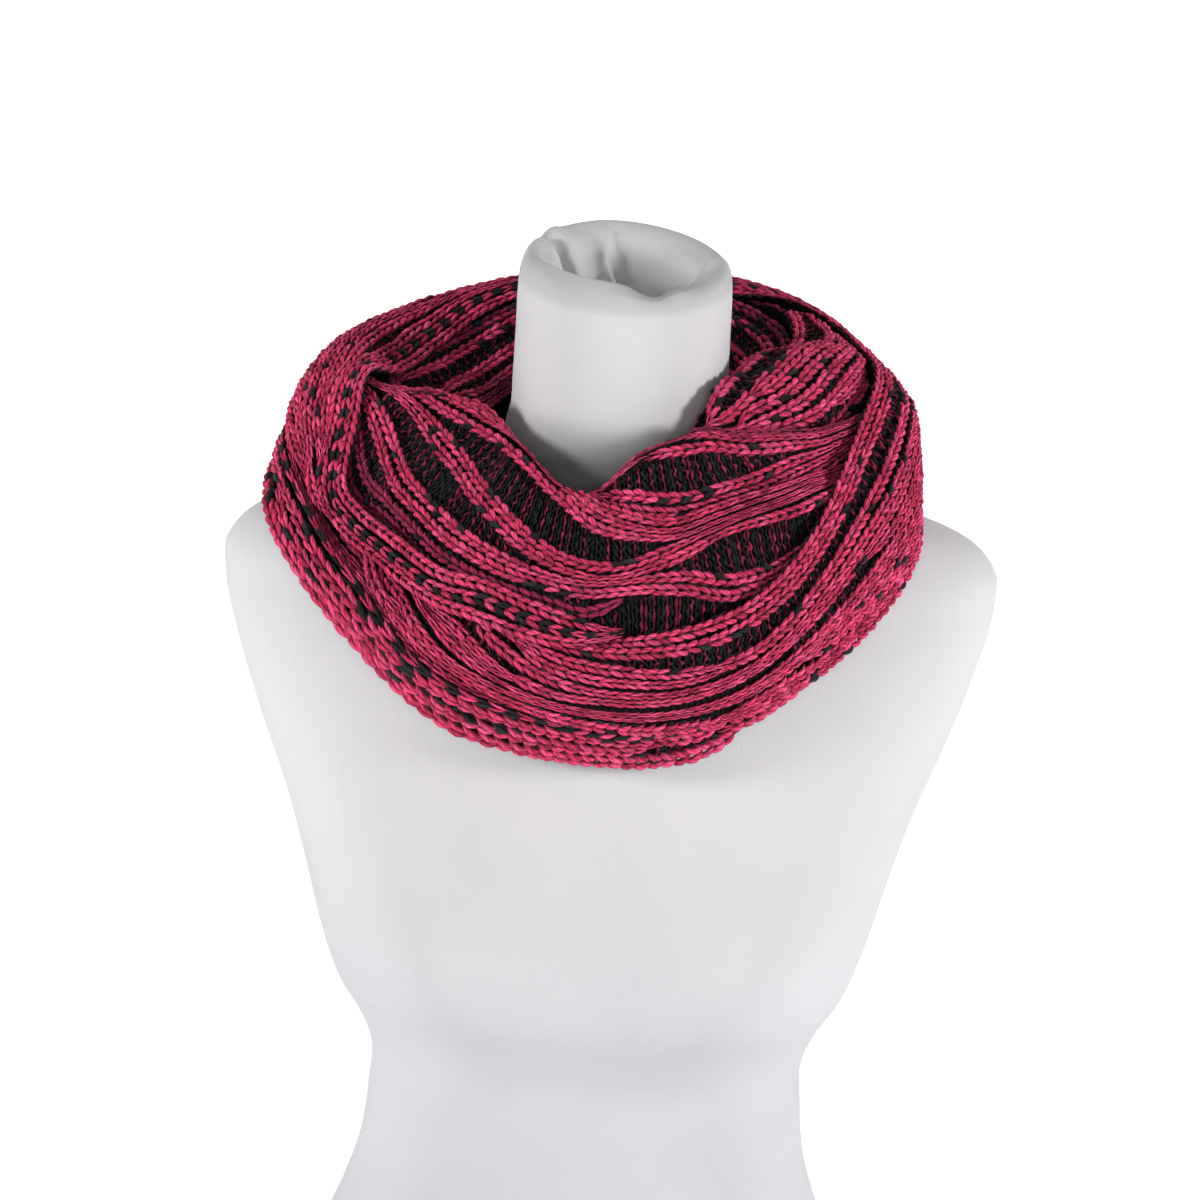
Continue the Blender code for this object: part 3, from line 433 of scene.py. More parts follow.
# which way the stitches point along each stretch
POINTING = dict(front_wrap=-1, upper_wrap=-1, lower_wrap=1, neck_drape=1, neck_edge=1, shoulder_fan=-1, inner_wrap=1)
TABLES = dict(front_wrap=FRONT_WRAP, upper_wrap=UPPER_WRAP, lower_wrap=LOWER_WRAP, neck_drape=NECK_DRAPE,
              neck_edge=NECK_EDGE, shoulder_fan=SHOULDER_FAN, inner_wrap=INNER_WRAP)
CLOSED = ("lower_wrap", "inner_wrap")
SPREAD = {name: spread_columns(name) for name in COLUMNS}


def key_rows(table, azimuth, closed):
    """t and sink of each key fold at each azimuth."""
    st = np.array(table["stations"], float)
    folds = np.array(list(table["folds"].values()), float).T
    sinks = {k: np.array(v, float) for k, v in table["sinks"].items()}
    if closed:
        st = np.concatenate([st[-2:] - 360, st, st[:3] + 360])
        folds = np.concatenate([folds[-2:], folds, folds[:3]])
        sinks = {k: np.concatenate([v[-2:], v, v[:3]]) for k, v in sinks.items()}
    keys = through(st, folds, azimuth)
    depth = np.stack([gentle(st, sinks.get(k, 0 * st) + sinks.get("all", 0 * st), azimuth) for k in table["folds"]], -1)
    return keys, depth * 0.001


def read_place(keys, depth, place):
    k = np.clip(np.floor(place).astype(int), 0, keys.shape[1] - 2)
    f = place - k
    t = np.take_along_axis(keys, k, 1) * (1 - f) + np.take_along_axis(keys, k + 1, 1) * f
    f = np.clip(f, 0, 1)
    f = f * f * (3 - 2 * f)
    sink = np.take_along_axis(depth, k, 1) * (1 - f) + np.take_along_axis(depth, k + 1, 1) * f
    return t, sink


def column_rows(name, azimuth, closed):
    """Place of each rib column along the stretch and how much of it shows, 0 to 1."""
    st, kinds, place = SPREAD[name]
    shown = (~np.isnan(place)).astype(float)
    place = place.copy()
    for s in range(place.shape[1]):               # a hidden column lies under the nearer one beside it
        ok = np.where(shown[:, s] > 0)[0]
        for i in np.where(shown[:, s] == 0)[0]:
            place[i, s] = place[ok[np.argmin(np.abs(ok - i) + 0.1 * (ok > i))], s]
    a = (azimuth + 180) % 360 - 180 if closed else azimuth
    P = np.stack([gentle(st, row, a) for row in place], -1)
    V = np.stack([np.interp(a, st, row) for row in shown], -1)
    return np.maximum.accumulate(P, 1), V, kinds


def frame_at(azimuth, t, sink, lift):
    a = np.broadcast_to(azimuth[:, None], t.shape)
    n = ring_normal(a, t)
    return ring_point(a, t) + n * (lift - sink)[..., None], n


def unit(v):
    return v / np.maximum(np.linalg.norm(v, axis=-1, keepdims=True), 1e-12)


def mesh_object(name, points, faces, materials, index=None, uv=None, shade=None, smooth=True):
    """faces: (n, k) array of one size."""
    points = np.asarray(points, np.float32)
    faces = np.asarray(faces, np.int32)
    me = bpy.data.meshes.new(name)
    me.vertices.add(len(points))
    me.vertices.foreach_set("co", (points + np.array([0, FORWARD, 0], np.float32)).ravel())
    k = faces.shape[1]
    me.loops.add(faces.size)
    me.loops.foreach_set("vertex_index", faces.ravel())
    me.polygons.add(len(faces))
    me.polygons.foreach_set("loop_start", np.arange(0, faces.size, k, dtype=np.int32))
    me.polygons.foreach_set("loop_total", np.full(len(faces), k, np.int32))
    for m in materials:
        me.materials.append(m)
    if index is not None:
        me.polygons.foreach_set("material_index", np.asarray(index, np.int32))
    me.polygons.foreach_set("use_smooth", np.full(len(faces), smooth, bool))
    if uv is not None:
        layer = me.uv_layers.new(name="UVMap")
        layer.data.foreach_set("uv", np.asarray(uv, np.float32)[faces.ravel()].ravel())
    if shade is not None:
        layer = me.color_attributes.new("shade", "FLOAT_COLOR", "POINT")
        shade = np.asarray(shade, np.float32)
        rgba = np.ones((len(shade), 4), np.float32)
        rgba[:, :3] = shade[:, None] if shade.ndim == 1 else shade
        layer.data.foreach_set("color", rgba.ravel())
    me.update(calc_edges=True)
    ob = bpy.data.objects.new(name, me)
    bpy.context.scene.collection.objects.link(ob)
    return ob


# ---------------------------------------------------------------- the cloth under the stitches
def relief(gap, u):
    """Height of the cloth between two ribs that are gap apart, u from 0 to 1."""
    closed = 0.0012 + 0.16 * np.clip(gap - 0.004, 0, 0.005)
    open_ = np.clip((gap - 0.0085) / 0.006, 0, 1)
    depth = closed * (1 - open_) + open_ * np.minimum(0.0036, 0.0016 + 0.13 * gap)
    power = 1.0 - 0.45 * open_
    return -depth * np.sin(np.pi * u) ** power


def stretch_grid(name, step_deg, across):
    table, closed = TABLES[name], name in CLOSED
    st = table["stations"]
    first, last = (st[0], st[0] + 360) if closed else (st[0], st[-1])
    n = int(round((last - first) / step_deg))
    azimuth = np.linspace(first, last, n + 1)[: n if closed else n + 1]
    keys, depth = key_rows(table, azimuth, closed)
    place, shown, kinds = column_rows(name, azimuth, closed)
    K = keys.shape[1] - 1
    tucked, deeper = 0.0 * azimuth, 0.0 * azimuth
    if name in TUCKED:
        tucked, deeper = (np.interp(azimuth, TUCKED[name][0], row) for row in TUCKED[name][1:])
    t, sink = read_place(keys, depth, place)
    ribs, normal = frame_at(azimuth, t, sink, 0.0 * t)
    gap = np.linalg.norm(np.diff(ribs, axis=1), axis=-1)
    cols, lifts = [], []
    edges = []
    if place[:, 0].min() > 0.02:
        cols.append(0 * place[:, 0]); lifts.append(0 * gap[:, 0] + ROOF - 0.0012)
    for j in range(place.shape[1]):
        cols.append(place[:, j]); lifts.append(0 * gap[:, 0] + ROOF)
        if j < place.shape[1] - 1:
            for u in np.linspace(0, 1, across + 1)[1:-1]:
                cols.append(place[:, j] * (1 - u) + place[:, j + 1] * u)
                lifts.append(ROOF + relief(gap[:, j], u))
    if K - place[:, -1].max() > 0.02:
        for u in (0.5, 1.0):
            cols.append(place[:, -1] * (1 - u) + (K + tucked) * u)
            lifts.append(0 * gap[:, 0] + ROOF - (0.0010 + 0.001 * deeper) * u)
    cols, lifts = np.stack(cols, -1), np.stack(lifts, -1)
    t, sink = read_place(keys, depth, cols)
    outer, normal = frame_at(azimuth, t, sink, lifts)
    inner, _ = frame_at(azimuth, t, sink, lifts - CLOTH)
    return dict(name=name, azimuth=azimuth, closed=closed, outer=outer, inner=inner, ribs=ribs, place=place,
                shown=shown, kinds=kinds, gap=gap, keys=keys, depth=depth)


def shell(grid, materials):
    outer, inner, closed = grid["outer"], grid["inner"], grid["closed"]
    n, m = outer.shape[:2]
    points = np.concatenate([outer.reshape(-1, 3), inner.reshape(-1, 3)])
    i = np.arange(n if closed else n - 1)
    j = np.arange(m - 1)
    I, J = np.meshgrid(i, j, indexing="ij")
    at = lambda a, b, s: (a % n) * m + b + s * n * m
    out = np.stack([at(I, J, 0), at(I, J + 1, 0), at(I + 1, J + 1, 0), at(I + 1, J, 0)], -1).reshape(-1, 4)
    inn = np.stack([at(I, J, 1), at(I + 1, J, 1), at(I + 1, J + 1, 1), at(I, J + 1, 1)], -1).reshape(-1, 4)
    rim = [np.stack([at(i, 0, 0), at(i + 1, 0, 0), at(i + 1, 0, 1), at(i, 0, 1)], -1),
           np.stack([at(i, m - 1, 0), at(i, m - 1, 1), at(i + 1, m - 1, 1), at(i + 1, m - 1, 0)], -1)]
    if not closed:
        rim.append(np.stack([at(0, j, 0), at(0, j, 1), at(0, j + 1, 1), at(0, j + 1, 0)], -1))
        rim.append(np.stack([at(n - 1, j, 0), at(n - 1, j + 1, 0), at(n - 1, j + 1, 1), at(n - 1, j, 1)], -1))
    faces = np.concatenate([out, inn] + rim)
    along = np.concatenate([[0], np.cumsum(np.linalg.norm(np.diff(outer[:, m // 2], axis=0), axis=-1))])
    over = np.concatenate([np.zeros((n, 1)), np.cumsum(np.linalg.norm(np.diff(outer, axis=1), axis=-1), 1)], 1)
    uv = np.stack([np.broadcast_to(along[:, None], (n, m)), over], -1).reshape(-1, 2)
    return mesh_object(grid["name"] + "_cloth", points, faces, materials, uv=np.concatenate([uv, uv]))


# ---------------------------------------------------------------- stitches
# one leg of a stitch from its tip at the middle of the column to its outer end: how far along, how far out (shares of
# the half width), how high, how thick
LEG_ALONG = (0.00, 0.06, 0.27, 0.52, 0.77, 0.94, 1.00)
LEG_OUT = (0.13, 0.18, 0.34, 0.52, 0.68, 0.76, 0.77)
LEG_HIGH = (-1.30, -0.80, 0.42, 1.00, 0.40, -0.70, -1.20)
LEG_THICK = (0.00, 0.56, 0.96, 1.08, 0.94, 0.56, 0.00)
PLY = 2 * math.pi / 2900                       # width of one ply in the yarn material's UV
BIT_ALONG = (0.00, 0.12, 0.50, 0.88, 1.00)
BIT_THICK = (0.00, 0.72, 1.00, 0.72, 0.00)


def tubes_mesh(name, line, up, radius, thick, sides, mat, materials, tone):
    """Short closed tubes. line: (n, k, 3) centre lines whose ends are points, up: (n, 3), tone: (n,) random lightness
    of each. Their 'shade' colour is painted shade, darker towards the ends and underneath, times the tone.
    """
    N, k = line.shape[:2]
    axis = unit(line[:, -2] - line[:, 1])
    side = unit(np.cross(axis, up))
    up = np.cross(side, axis)
    w = (np.arange(sides) + 0.5) / sides * 2 * np.pi
    rows = [line[:, :1]]
    for q in range(1, k - 1):
        rows.append(line[:, q, None] + (side[:, None] * np.cos(w)[None, :, None] + up[:, None] * (0.86 * np.sin(w))[None, :, None])
                    * (radius * thick[q])[:, None, None])
    pts = np.concatenate(rows + [line[:, -1:]], 1)
    per = pts.shape[1]
    tris = []
    for q in range(k - 3):
        for s in range(sides):
            s2 = (s + 1) % sides
            a, b = 1 + q * sides, 1 + (q + 1) * sides
            tris += [(a + s, a + s2, b + s2), (a + s, b + s2, b + s)]
    last = 1 + (k - 3) * sides
    for s in range(sides):
        s2 = (s + 1) % sides
        tris += [(0, 1 + s2, 1 + s), (per - 1, last + s, last + s2)]
    tris = np.array(tris)
    faces = (tris[None] + (np.arange(N) * per)[:, None, None]).reshape(-1, 3)
    seg = np.linalg.norm(np.diff(line, axis=1), axis=-1)
    along = np.concatenate([np.zeros((N, 1)), np.cumsum(seg, 1)], 1) + RNG.random(N)[:, None] * 0.5
    uu = np.concatenate([along[:, :1], np.repeat(along[:, 1:-1], sides, 1), along[:, -1:]], 1)
    vv = np.concatenate([[0.0], np.tile(np.arange(sides) / sides * 4 * PLY, k - 2), [0.0]])
    uv = np.stack([0.42 * uu, np.broadcast_to(vv[None], (N, per))], -1)
    # painted shade: each tube darker towards its ends, where it runs under its neighbour, and on its underside
    ends = 0.12 + 0.92 * np.sin(np.pi * np.arange(k) / (k - 1)) ** 1.1
    turn = np.clip(0.34 + 0.72 * np.sin(w), 0.06, 1.06)
    dark = np.concatenate([[0.15]] + [ends[q] * turn for q in range(1, k - 1)] + [[0.12]])
    return mesh_object(name, pts.reshape(-1, 3), faces, materials, index=np.repeat(mat, len(tris)), uv=uv.reshape(-1, 2),
                       shade=(dark[None] * tone[:, None]).reshape(-1))


def around(v, closed):
    return np.concatenate([v, v[:1]]) if closed else v


def stitches(name, part, grid, first, last, materials):
    """Two legs for each stitch of the rib columns from first to last, and small charcoal bits between them."""
    stretch, ribs, shown, kinds, closed = grid["name"], grid["ribs"], grid["shown"], grid["kinds"], grid["closed"]
    point = POINTING[stretch]
    big = LARGER.get(stretch, 1.0)
    widest = COLUMN * big
    parts = []
    m = ribs.shape[1]
    for j in range(m)[slice(first, last)]:
        P = ribs[:, j]

        def nearest(step):
            out, ref = np.full(len(P), 0.030), np.array(P)
            far = np.full(len(P), np.inf)
            k = j + step
            while 0 <= k < m:
                d = np.linalg.norm(ribs[:, k] - P, axis=-1)
                hit = (shown[:, k] > 0.5) & (d < far)
                far = np.where(hit, d, far)
                out = np.where(hit, d, out)
                ref = np.where(hit[:, None], ribs[:, k], ref)
                k += step
            return out, ref
        before, ref0 = nearest(-1)
        after, ref1 = nearest(1)
        width = np.minimum(before, widest) * 0.5 + np.minimum(after, widest) * 0.5
        width = np.minimum(width, 1.25 * np.minimum(before, after))
        width = width * np.interp(width, (0.0040, 0.0070), (0.70, 0.87)) * FULLER.get(stretch, 1.0)
        width = np.clip(width, 0.0020, widest)
        width = width * np.clip(shown[:, j] * 1.6, 0.3, 1)
        line = around(P, closed)
        az = np.append(grid["azimuth"], grid["azimuth"][0] + 360) if closed else grid["azimuth"]
        s = np.concatenate([[0], np.cumsum(np.linalg.norm(np.diff(line, axis=0), axis=-1))])
        pull = np.interp((az + 180) % 360 - 180 if closed else az, *PULLED[stretch]) if stretch in PULLED else 0 * az + 1
        each = STITCH * (0.5 + 0.5 * big) * pull
        total = np.concatenate([[0], np.cumsum(np.diff(s) * 0.5 * (1 / each[1:] + 1 / each[:-1]))])
        count = max(int(round(total[-1])), 2)
        at = np.interp((np.arange(count) + 0.5) * total[-1] / count, total, s)
        pitch = np.interp(at, s, each) * total[-1] / count

        def read(v, x):
            v = around(v, closed)
            return np.interp(x, s, v) if v.ndim == 1 else np.stack([np.interp(x, s, v[:, k]) for k in range(3)], -1)
        c = read(P, at)
        tangent = unit(read(P, np.minimum(at + 0.4 * pitch, s[-1])) - read(P, np.maximum(at - 0.4 * pitch, 0)))
        a = np.interp(at, s, az)
        keys, depth = key_rows(TABLES[stretch], a, closed)
        place = column_rows(stretch, a, closed)[0]
        t = read_place(keys, depth, place[:, j:j + 1])[0]
        n = ring_normal(a, t[:, 0])
        slope = read(ref1, at) - read(ref0, at)
        slope = slope - (slope * tangent).sum(-1, keepdims=True) * tangent
        far = np.linalg.norm(slope, axis=-1, keepdims=True)
        side = unit(np.cross(n, tangent))
        side = np.where((slope * side).sum(-1, keepdims=True) < 0, -side, side)
        mix = np.clip((far - 0.003) / 0.004, 0, 1) * 0.75
        side = unit(side * (1 - mix) + unit(slope) * mix)
        nn = np.cross(side, tangent)
        n = unit(np.where((nn * n).sum(-1, keepdims=True) < 0, -nn, nn))
        v = read(shown[:, j], at)
        keep = v > 0.35
        parts.append(dict(c=c[keep], t=tangent[keep], n=n[keep], side=side[keep], half=0.5 * read(width, at)[keep],
                          pitch=pitch[keep], kind=np.full(keep.sum(), kinds[j]),
                          turn=np.arange(count)[keep], room=np.stack([read(before, at), read(after, at)], -1)[keep]))
    P = {k: np.concatenate([p[k] for p in parts]) for k in parts[0]}
    N = len(P["c"])
    half = P["half"]
    mixed, deep, charcoal = (P["kind"] == k for k in ("mixed", "deep", "grey"))
    whole = mixed & (P["turn"] % 2 == 0)
    lines, radii, ups, mats = [], [], [], []
    base = RNG.integers(0, 3, N)
    for k, hand in enumerate((-1.0, 1.0)):
        jit = RNG.normal(0, 1, (N, 8))
        r = np.minimum(YARN * big, 0.41 * half) * (1 + 0.07 * jit[:, 0])
        L = P["pitch"] * (LEG + 0.05 * jit[:, 1])
        bow = np.minimum(0.0013, 0.9 * r)
        rows = []
        for u, x, h in zip(LEG_ALONG, LEG_OUT, LEG_HIGH):
            along = (u - 0.5) * L * -point + 0.0003 * jit[:, 2]
            out = half * (x + 0.035 * jit[:, 3] + 0.03 * jit[:, 4] * (u - 0.5))
            high = -0.0002 + bow * h - 0.16 * half * x * x * 2 + 0.00018 * jit[:, 5]
            rows.append(P["c"] + P["t"] * along[:, None] + P["side"] * (hand * out)[:, None] + P["n"] * high[:, None])
        lines.append(np.stack(rows, 1)); radii.append(r); ups.append(P["n"])
        mat = np.where(RNG.random(N) < 0.3, RNG.integers(0, 3, N), base)
        grey = (whole & (RNG.random(N) < 0.94)) | charcoal
        grey |= ~mixed & (half > 0.0026) & (P["room"][:, k] > 0.0095) & (P["room"][:, k] < 0.029) & (RNG.random(N) < 0.08)
        grey |= ~mixed & (half > 0.0026) & (RNG.random(N) < 0.035)
        # columns in the shade take the darker pink: painted shade
        mat = np.where(deep, 3, mat)
        mats.append(np.where(grey, 4 + RNG.integers(0, 2, N), mat))
    cat = np.concatenate
    tones = [np.clip(1.0 + 0.16 * RNG.normal(0, 1, N), 0.6, 1.25) for _ in lines]
    objects = [tubes_mesh(name + "_stitches_" + part, cat(lines), cat(ups), cat(radii), LEG_THICK, 6, cat(mats), materials,
                          cat(tones))]
    # charcoal bits: in the V of a stitch and in the groove beside the column
    lines, radii, ups, mats = [], [], [], []
    for where, share in (("v", 0.50), ("groove", 0.50)):
        lone = np.where(P["room"].max(1) > 0.0085, 1.25, 0.75)
        pick = np.where((RNG.random(N) < share * lone) & (half > 0.0019) & ~whole)[0]
        jit = RNG.normal(0, 1, (len(pick), 6))
        h = half[pick]
        if where == "v":
            out, high, r, L, shift = 0.08 * h * jit[:, 0], 0.0002 + 0 * h, 0.24 * h, 0.85 * P["pitch"][pick], -0.10
        else:
            out, high, r, L, shift = -h * (1.02 + 0.03 * jit[:, 0]), -0.0008 + 0 * h, 0.30 * h, 0.80 * P["pitch"][pick], 0.0
        rows = []
        for u in BIT_ALONG:
            along = (shift + (u - 0.5)) * L * -point + 0.0004 * jit[:, 1]
            rows.append(P["c"][pick] + P["t"][pick] * along[:, None]
                        + P["side"][pick] * (out + 0.36 * h * jit[:, 2] * (u - 0.5))[:, None]
                        + P["n"][pick] * (high + 0.0007 * (np.sin(np.pi * u) - 0.7) + 0.0001 * jit[:, 3])[:, None])
        lines.append(np.stack(rows, 1)); radii.append(r * (1 + 0.1 * jit[:, 4])); ups.append(P["n"][pick])
        mats.append(4 + RNG.integers(0, 2, len(pick)))
    objects.append(tubes_mesh(name + "_bits_" + part, cat(lines), cat(ups), cat(radii), BIT_THICK, 4, cat(mats), materials,
                              np.ones(len(cat(mats)))))
    return objects


# ---------------------------------------------------------------- strands across the open valleys
STRAND_SIDES = 4
STRAND_STEPS = 11


def strands(grid):
    name, ribs, gap, shown, closed = grid["name"], grid["ribs"], grid["gap"], grid["shown"], grid["closed"]
    m = ribs.shape[1]
    out = []
    for j in range(m - 1):
        g = gap[:, j]
        if g.max() < 0.0092:
            continue
        mid = 0.5 * (ribs[:, j] + ribs[:, j + 1])
        s = np.concatenate([[0], np.cumsum(np.linalg.norm(np.diff(mid, axis=0), axis=-1))])
        at = np.arange(STRAND, s[-1] - STRAND, STRAND)
        at = at + 0.00022 * RNG.normal(0, 1, len(at))
        gg = np.interp(at, s, g)
        az = np.interp(at, s, grid["azimuth"])
        keep = gg > 0.0092
        at, gg, az = at[keep], gg[keep], az[keep]
        if not len(at):
            continue
        u = np.linspace(0.10, 0.90, STRAND_STEPS)
        keys, depth = key_rows(TABLES[name], az, closed)
        place, _, _ = column_rows(name, az, closed)
        pl = place[:, j:j + 1] * (1 - u) + place[:, j + 1:j + 2] * u
        t, sink = read_place(keys, depth, pl)
        lift = ROOF + np.stack([relief(gg, x) for x in u], -1) + 0.0015
        pts, nrm = frame_at(az, t, sink, lift)
        tang = np.gradient(mid, axis=0)
        tang = unit(np.stack([np.interp(at, s, tang[:, k]) for k in range(3)], -1))
        phase = RNG.random(len(at)) * 6.283
        waves = gg[:, None] / 0.0046
        amp = 0.00062 * (0.5 + 0.9 * RNG.random(len(at)))
        wob = amp[:, None] * np.sin(phase[:, None] + 2 * np.pi * waves * u[None])
        pts = pts + tang[:, None] * wob[..., None] + nrm * (0.00035 * np.cos(phase[:, None] + 2 * np.pi * waves * u[None]))[..., None]
        turn = np.arange(len(at)) % 3
        grey = np.where(turn == 0, RNG.random(len(at)) < 0.10, RNG.random(len(at)) < 0.90)
        r = np.where(grey, 0.00088, 0.00080) * (0.80 + 0.4 * RNG.random(len(at)))
        dip = 0.0009 * np.sin(RNG.random(len(at))[:, None] * 6.283 + 2 * np.pi * 0.6 * waves * u[None])
        pts = pts + nrm * (np.where(grey, 0.0, 0.0002)[:, None] + np.where(grey[:, None], 0.4, 1.0) * dip)[..., None]
        # the pink strands take the shaded and the dark pink: painted shade of the open valley
        mat = np.where(grey, 4 + RNG.integers(0, 2, len(at)), np.where(RNG.random(len(at)) < 0.6, 3, 2))
        out.append((pts, nrm, np.broadcast_to(tang[:, None], pts.shape), r, mat))
    if not out:
        return None
    pts, nrm, tang, r, mat = (np.concatenate([o[k] for o in out]) for k in range(5))
    return pts, nrm, tang, r, mat


def strands_mesh(name, data, materials):
    pts, nrm, tang, r, mat = data
    N, S = pts.shape[:2]
    w = (np.arange(STRAND_SIDES) + 0.5) / STRAND_SIDES * 2 * np.pi
    swell = 1 + 0.34 * np.sin(np.linspace(0, 1, S)[None] * 19 + RNG.random(N)[:, None] * 6)
    ring = (pts[:, :, None] + (tang[:, :, None] * np.cos(w)[None, None, :, None] + nrm[:, :, None] * np.sin(w)[None, None, :, None])
            * (r[:, None] * swell)[:, :, None, None])
    per = S * STRAND_SIDES
    tris = []
    for k in range(S - 1):
        for s in range(STRAND_SIDES):
            s2 = (s + 1) % STRAND_SIDES
            p, q = k * STRAND_SIDES, (k + 1) * STRAND_SIDES
            tris += [(p + s, p + s2, q + s2), (p + s, q + s2, q + s)]
    for s in range(1, STRAND_SIDES - 1):
        tris.append((0, s + 1, s))
        e = (S - 1) * STRAND_SIDES
        tris.append((e, e + s, e + s + 1))
    tris = np.array(tris)
    faces = (tris[None] + (np.arange(N) * per)[:, None, None]).reshape(-1, 3)
    seg = np.linalg.norm(np.diff(pts, axis=1), axis=-1)
    along = np.concatenate([np.zeros((N, 1)), np.cumsum(seg, 1)], 1) + RNG.random(N)[:, None]
    uv = np.stack([np.repeat(along[:, :, None], STRAND_SIDES, 2),
                   np.broadcast_to(np.arange(STRAND_SIDES) / STRAND_SIDES * 0.010, (N, S, STRAND_SIDES))], -1)
    # painted shade: a strand darker as a whole in its valley, towards the ribs at its ends, where it is thin and on its
    # underside
    ends = 0.30 + 0.70 * np.sin(np.pi * np.linspace(0.06, 0.94, S)) ** 1.2
    turn = np.clip(0.20 + 1.10 * np.sin(w), 0.04, 1.0)
    bump = 0.70 + 0.45 * (swell - 1) / 0.34
    dark = 0.70 * ends[None, :, None] * bump[:, :, None] * turn[None, None]
    return mesh_object(name, ring.reshape(-1, 3), faces, materials, index=np.repeat(mat, len(tris)), uv=uv.reshape(-1, 2),
                       shade=np.clip(dark, 0.05, 1.2).reshape(-1))


# ---------------------------------------------------------------- materials
def material(name):
    m = bpy.data.materials.new(name)
    m.use_nodes = True
    nt = m.node_tree
    return m, nt, nt.nodes["Principled BSDF"]


def link(nt, a, b):
    nt.links.new(a, b)


def yarn(name, dark, light, sheen_tint, sheen=0.08):
    """Plied yarn: twisted plies from the UV along a leg, fibres and blotches from object coordinates."""
    m, nt, sh = material(name)
    N = nt.nodes.new

    def scaled(socket, factor, add):
        x = N("ShaderNodeMath"); x.operation = "MULTIPLY_ADD"
        link(nt, socket, x.inputs[0]); x.inputs[1].default_value = factor
        if isinstance(add, float):
            x.inputs[2].default_value = add
        else:
            link(nt, add, x.inputs[2])
        return x.outputs[0]
    co = N("ShaderNodeTexCoord")
    uvm = N("ShaderNodeUVMap"); uvm.uv_map = "UVMap"
    ply = N("ShaderNodeTexWave"); ply.wave_type = "BANDS"; ply.bands_direction = "DIAGONAL"
    ply.inputs["Scale"].default_value = 290.0
    ply.inputs["Distortion"].default_value = 1.5
    ply.inputs["Detail"].default_value = 2.0
    link(nt, uvm.outputs["UV"], ply.inputs["Vector"])
    fib = N("ShaderNodeTexNoise"); fib.inputs["Scale"].default_value = 1400.0
    fib.inputs["Detail"].default_value = 3.0; fib.inputs["Roughness"].default_value = 0.65
    link(nt, co.outputs["Object"], fib.inputs["Vector"])
    blot = N("ShaderNodeTexNoise"); blot.inputs["Scale"].default_value = 110.0
    blot.inputs["Detail"].default_value = 2.0
    link(nt, co.outputs["Object"], blot.inputs["Vector"])
    rise = scaled(ply.outputs["Fac"], 0.55, scaled(fib.outputs["Fac"], 1.1, -0.50))
    tone = scaled(blot.outputs["Fac"], 0.9, scaled(rise, 1.0, -0.27))
    ramp = N("ShaderNodeValToRGB")
    ramp.color_ramp.elements[0].position = 0.0; ramp.color_ramp.elements[0].color = (*dark, 1)
    ramp.color_ramp.elements[1].position = 1.0; ramp.color_ramp.elements[1].color = (*light, 1)
    link(nt, tone, ramp.inputs["Fac"])
    # the 'shade' colour attribute multiplies in the painted shade of the stitches and strands
    shade = N("ShaderNodeVertexColor"); shade.layer_name = "shade"
    dim = N("ShaderNodeMix"); dim.data_type = "RGBA"; dim.blend_type = "MULTIPLY"
    dim.inputs["Factor"].default_value = 1.0
    link(nt, ramp.outputs["Color"], dim.inputs["A"])
    link(nt, shade.outputs["Color"], dim.inputs["B"])
    link(nt, dim.outputs["Result"], sh.inputs["Base Color"])
    bump = N("ShaderNodeBump"); bump.inputs["Strength"].default_value = 0.8; bump.inputs["Distance"].default_value = 0.0007
    link(nt, rise, bump.inputs["Height"])
    link(nt, bump.outputs["Normal"], sh.inputs["Normal"])
    sh.inputs["Roughness"].default_value = 0.88
    sh.inputs["Specular IOR Level"].default_value = 0.2
    sh.inputs["Sheen Weight"].default_value = sheen
    sh.inputs["Sheen Roughness"].default_value = 0.5
    sh.inputs["Sheen Tint"].default_value = (*sheen_tint, 1)
    return m


def cloth_under():
    m, nt, sh = material("charcoal_knit_and_gap_shade")
    N = nt.nodes.new
    uvm = N("ShaderNodeUVMap"); uvm.uv_map = "UVMap"
    row = N("ShaderNodeTexWave"); row.wave_type = "BANDS"; row.bands_direction = "X"
    row.inputs["Scale"].default_value = 92.0; row.inputs["Distortion"].default_value = 2.4
    row.inputs["Detail"].default_value = 2.0; row.inputs["Detail Scale"].default_value = 2.0
    link(nt, uvm.outputs["UV"], row.inputs["Vector"])
    co = N("ShaderNodeTexCoord")
    fib = N("ShaderNodeTexNoise"); fib.inputs["Scale"].default_value = 620.0; fib.inputs["Detail"].default_value = 3.0
    link(nt, co.outputs["Object"], fib.inputs["Vector"])
    mix = N("ShaderNodeMath"); mix.operation = "MULTIPLY_ADD"
    link(nt, row.outputs["Color"], mix.inputs[0]); mix.inputs[1].default_value = 0.8
    link(nt, fib.outputs["Fac"], mix.inputs[2])
    # near black: the charcoal yarn, darkened further as painted shade in the gaps between the stitches
    ramp = N("ShaderNodeValToRGB")
    ramp.color_ramp.elements[0].position = 0.35; ramp.color_ramp.elements[0].color = (0.002, 0.001, 0.0015, 1)
    ramp.color_ramp.elements[1].position = 1.0; ramp.color_ramp.elements[1].color = (0.010, 0.006, 0.008, 1)
    link(nt, mix.outputs[0], ramp.inputs["Fac"])
    link(nt, ramp.outputs["Color"], sh.inputs["Base Color"])
    bump = N("ShaderNodeBump"); bump.inputs["Strength"].default_value = 0.9; bump.inputs["Distance"].default_value = 0.0012
    link(nt, mix.outputs[0], bump.inputs["Height"])
    link(nt, bump.outputs["Normal"], sh.inputs["Normal"])
    sh.inputs["Roughness"].default_value = 0.95
    sh.inputs["Specular IOR Level"].default_value = 0.15
    return m
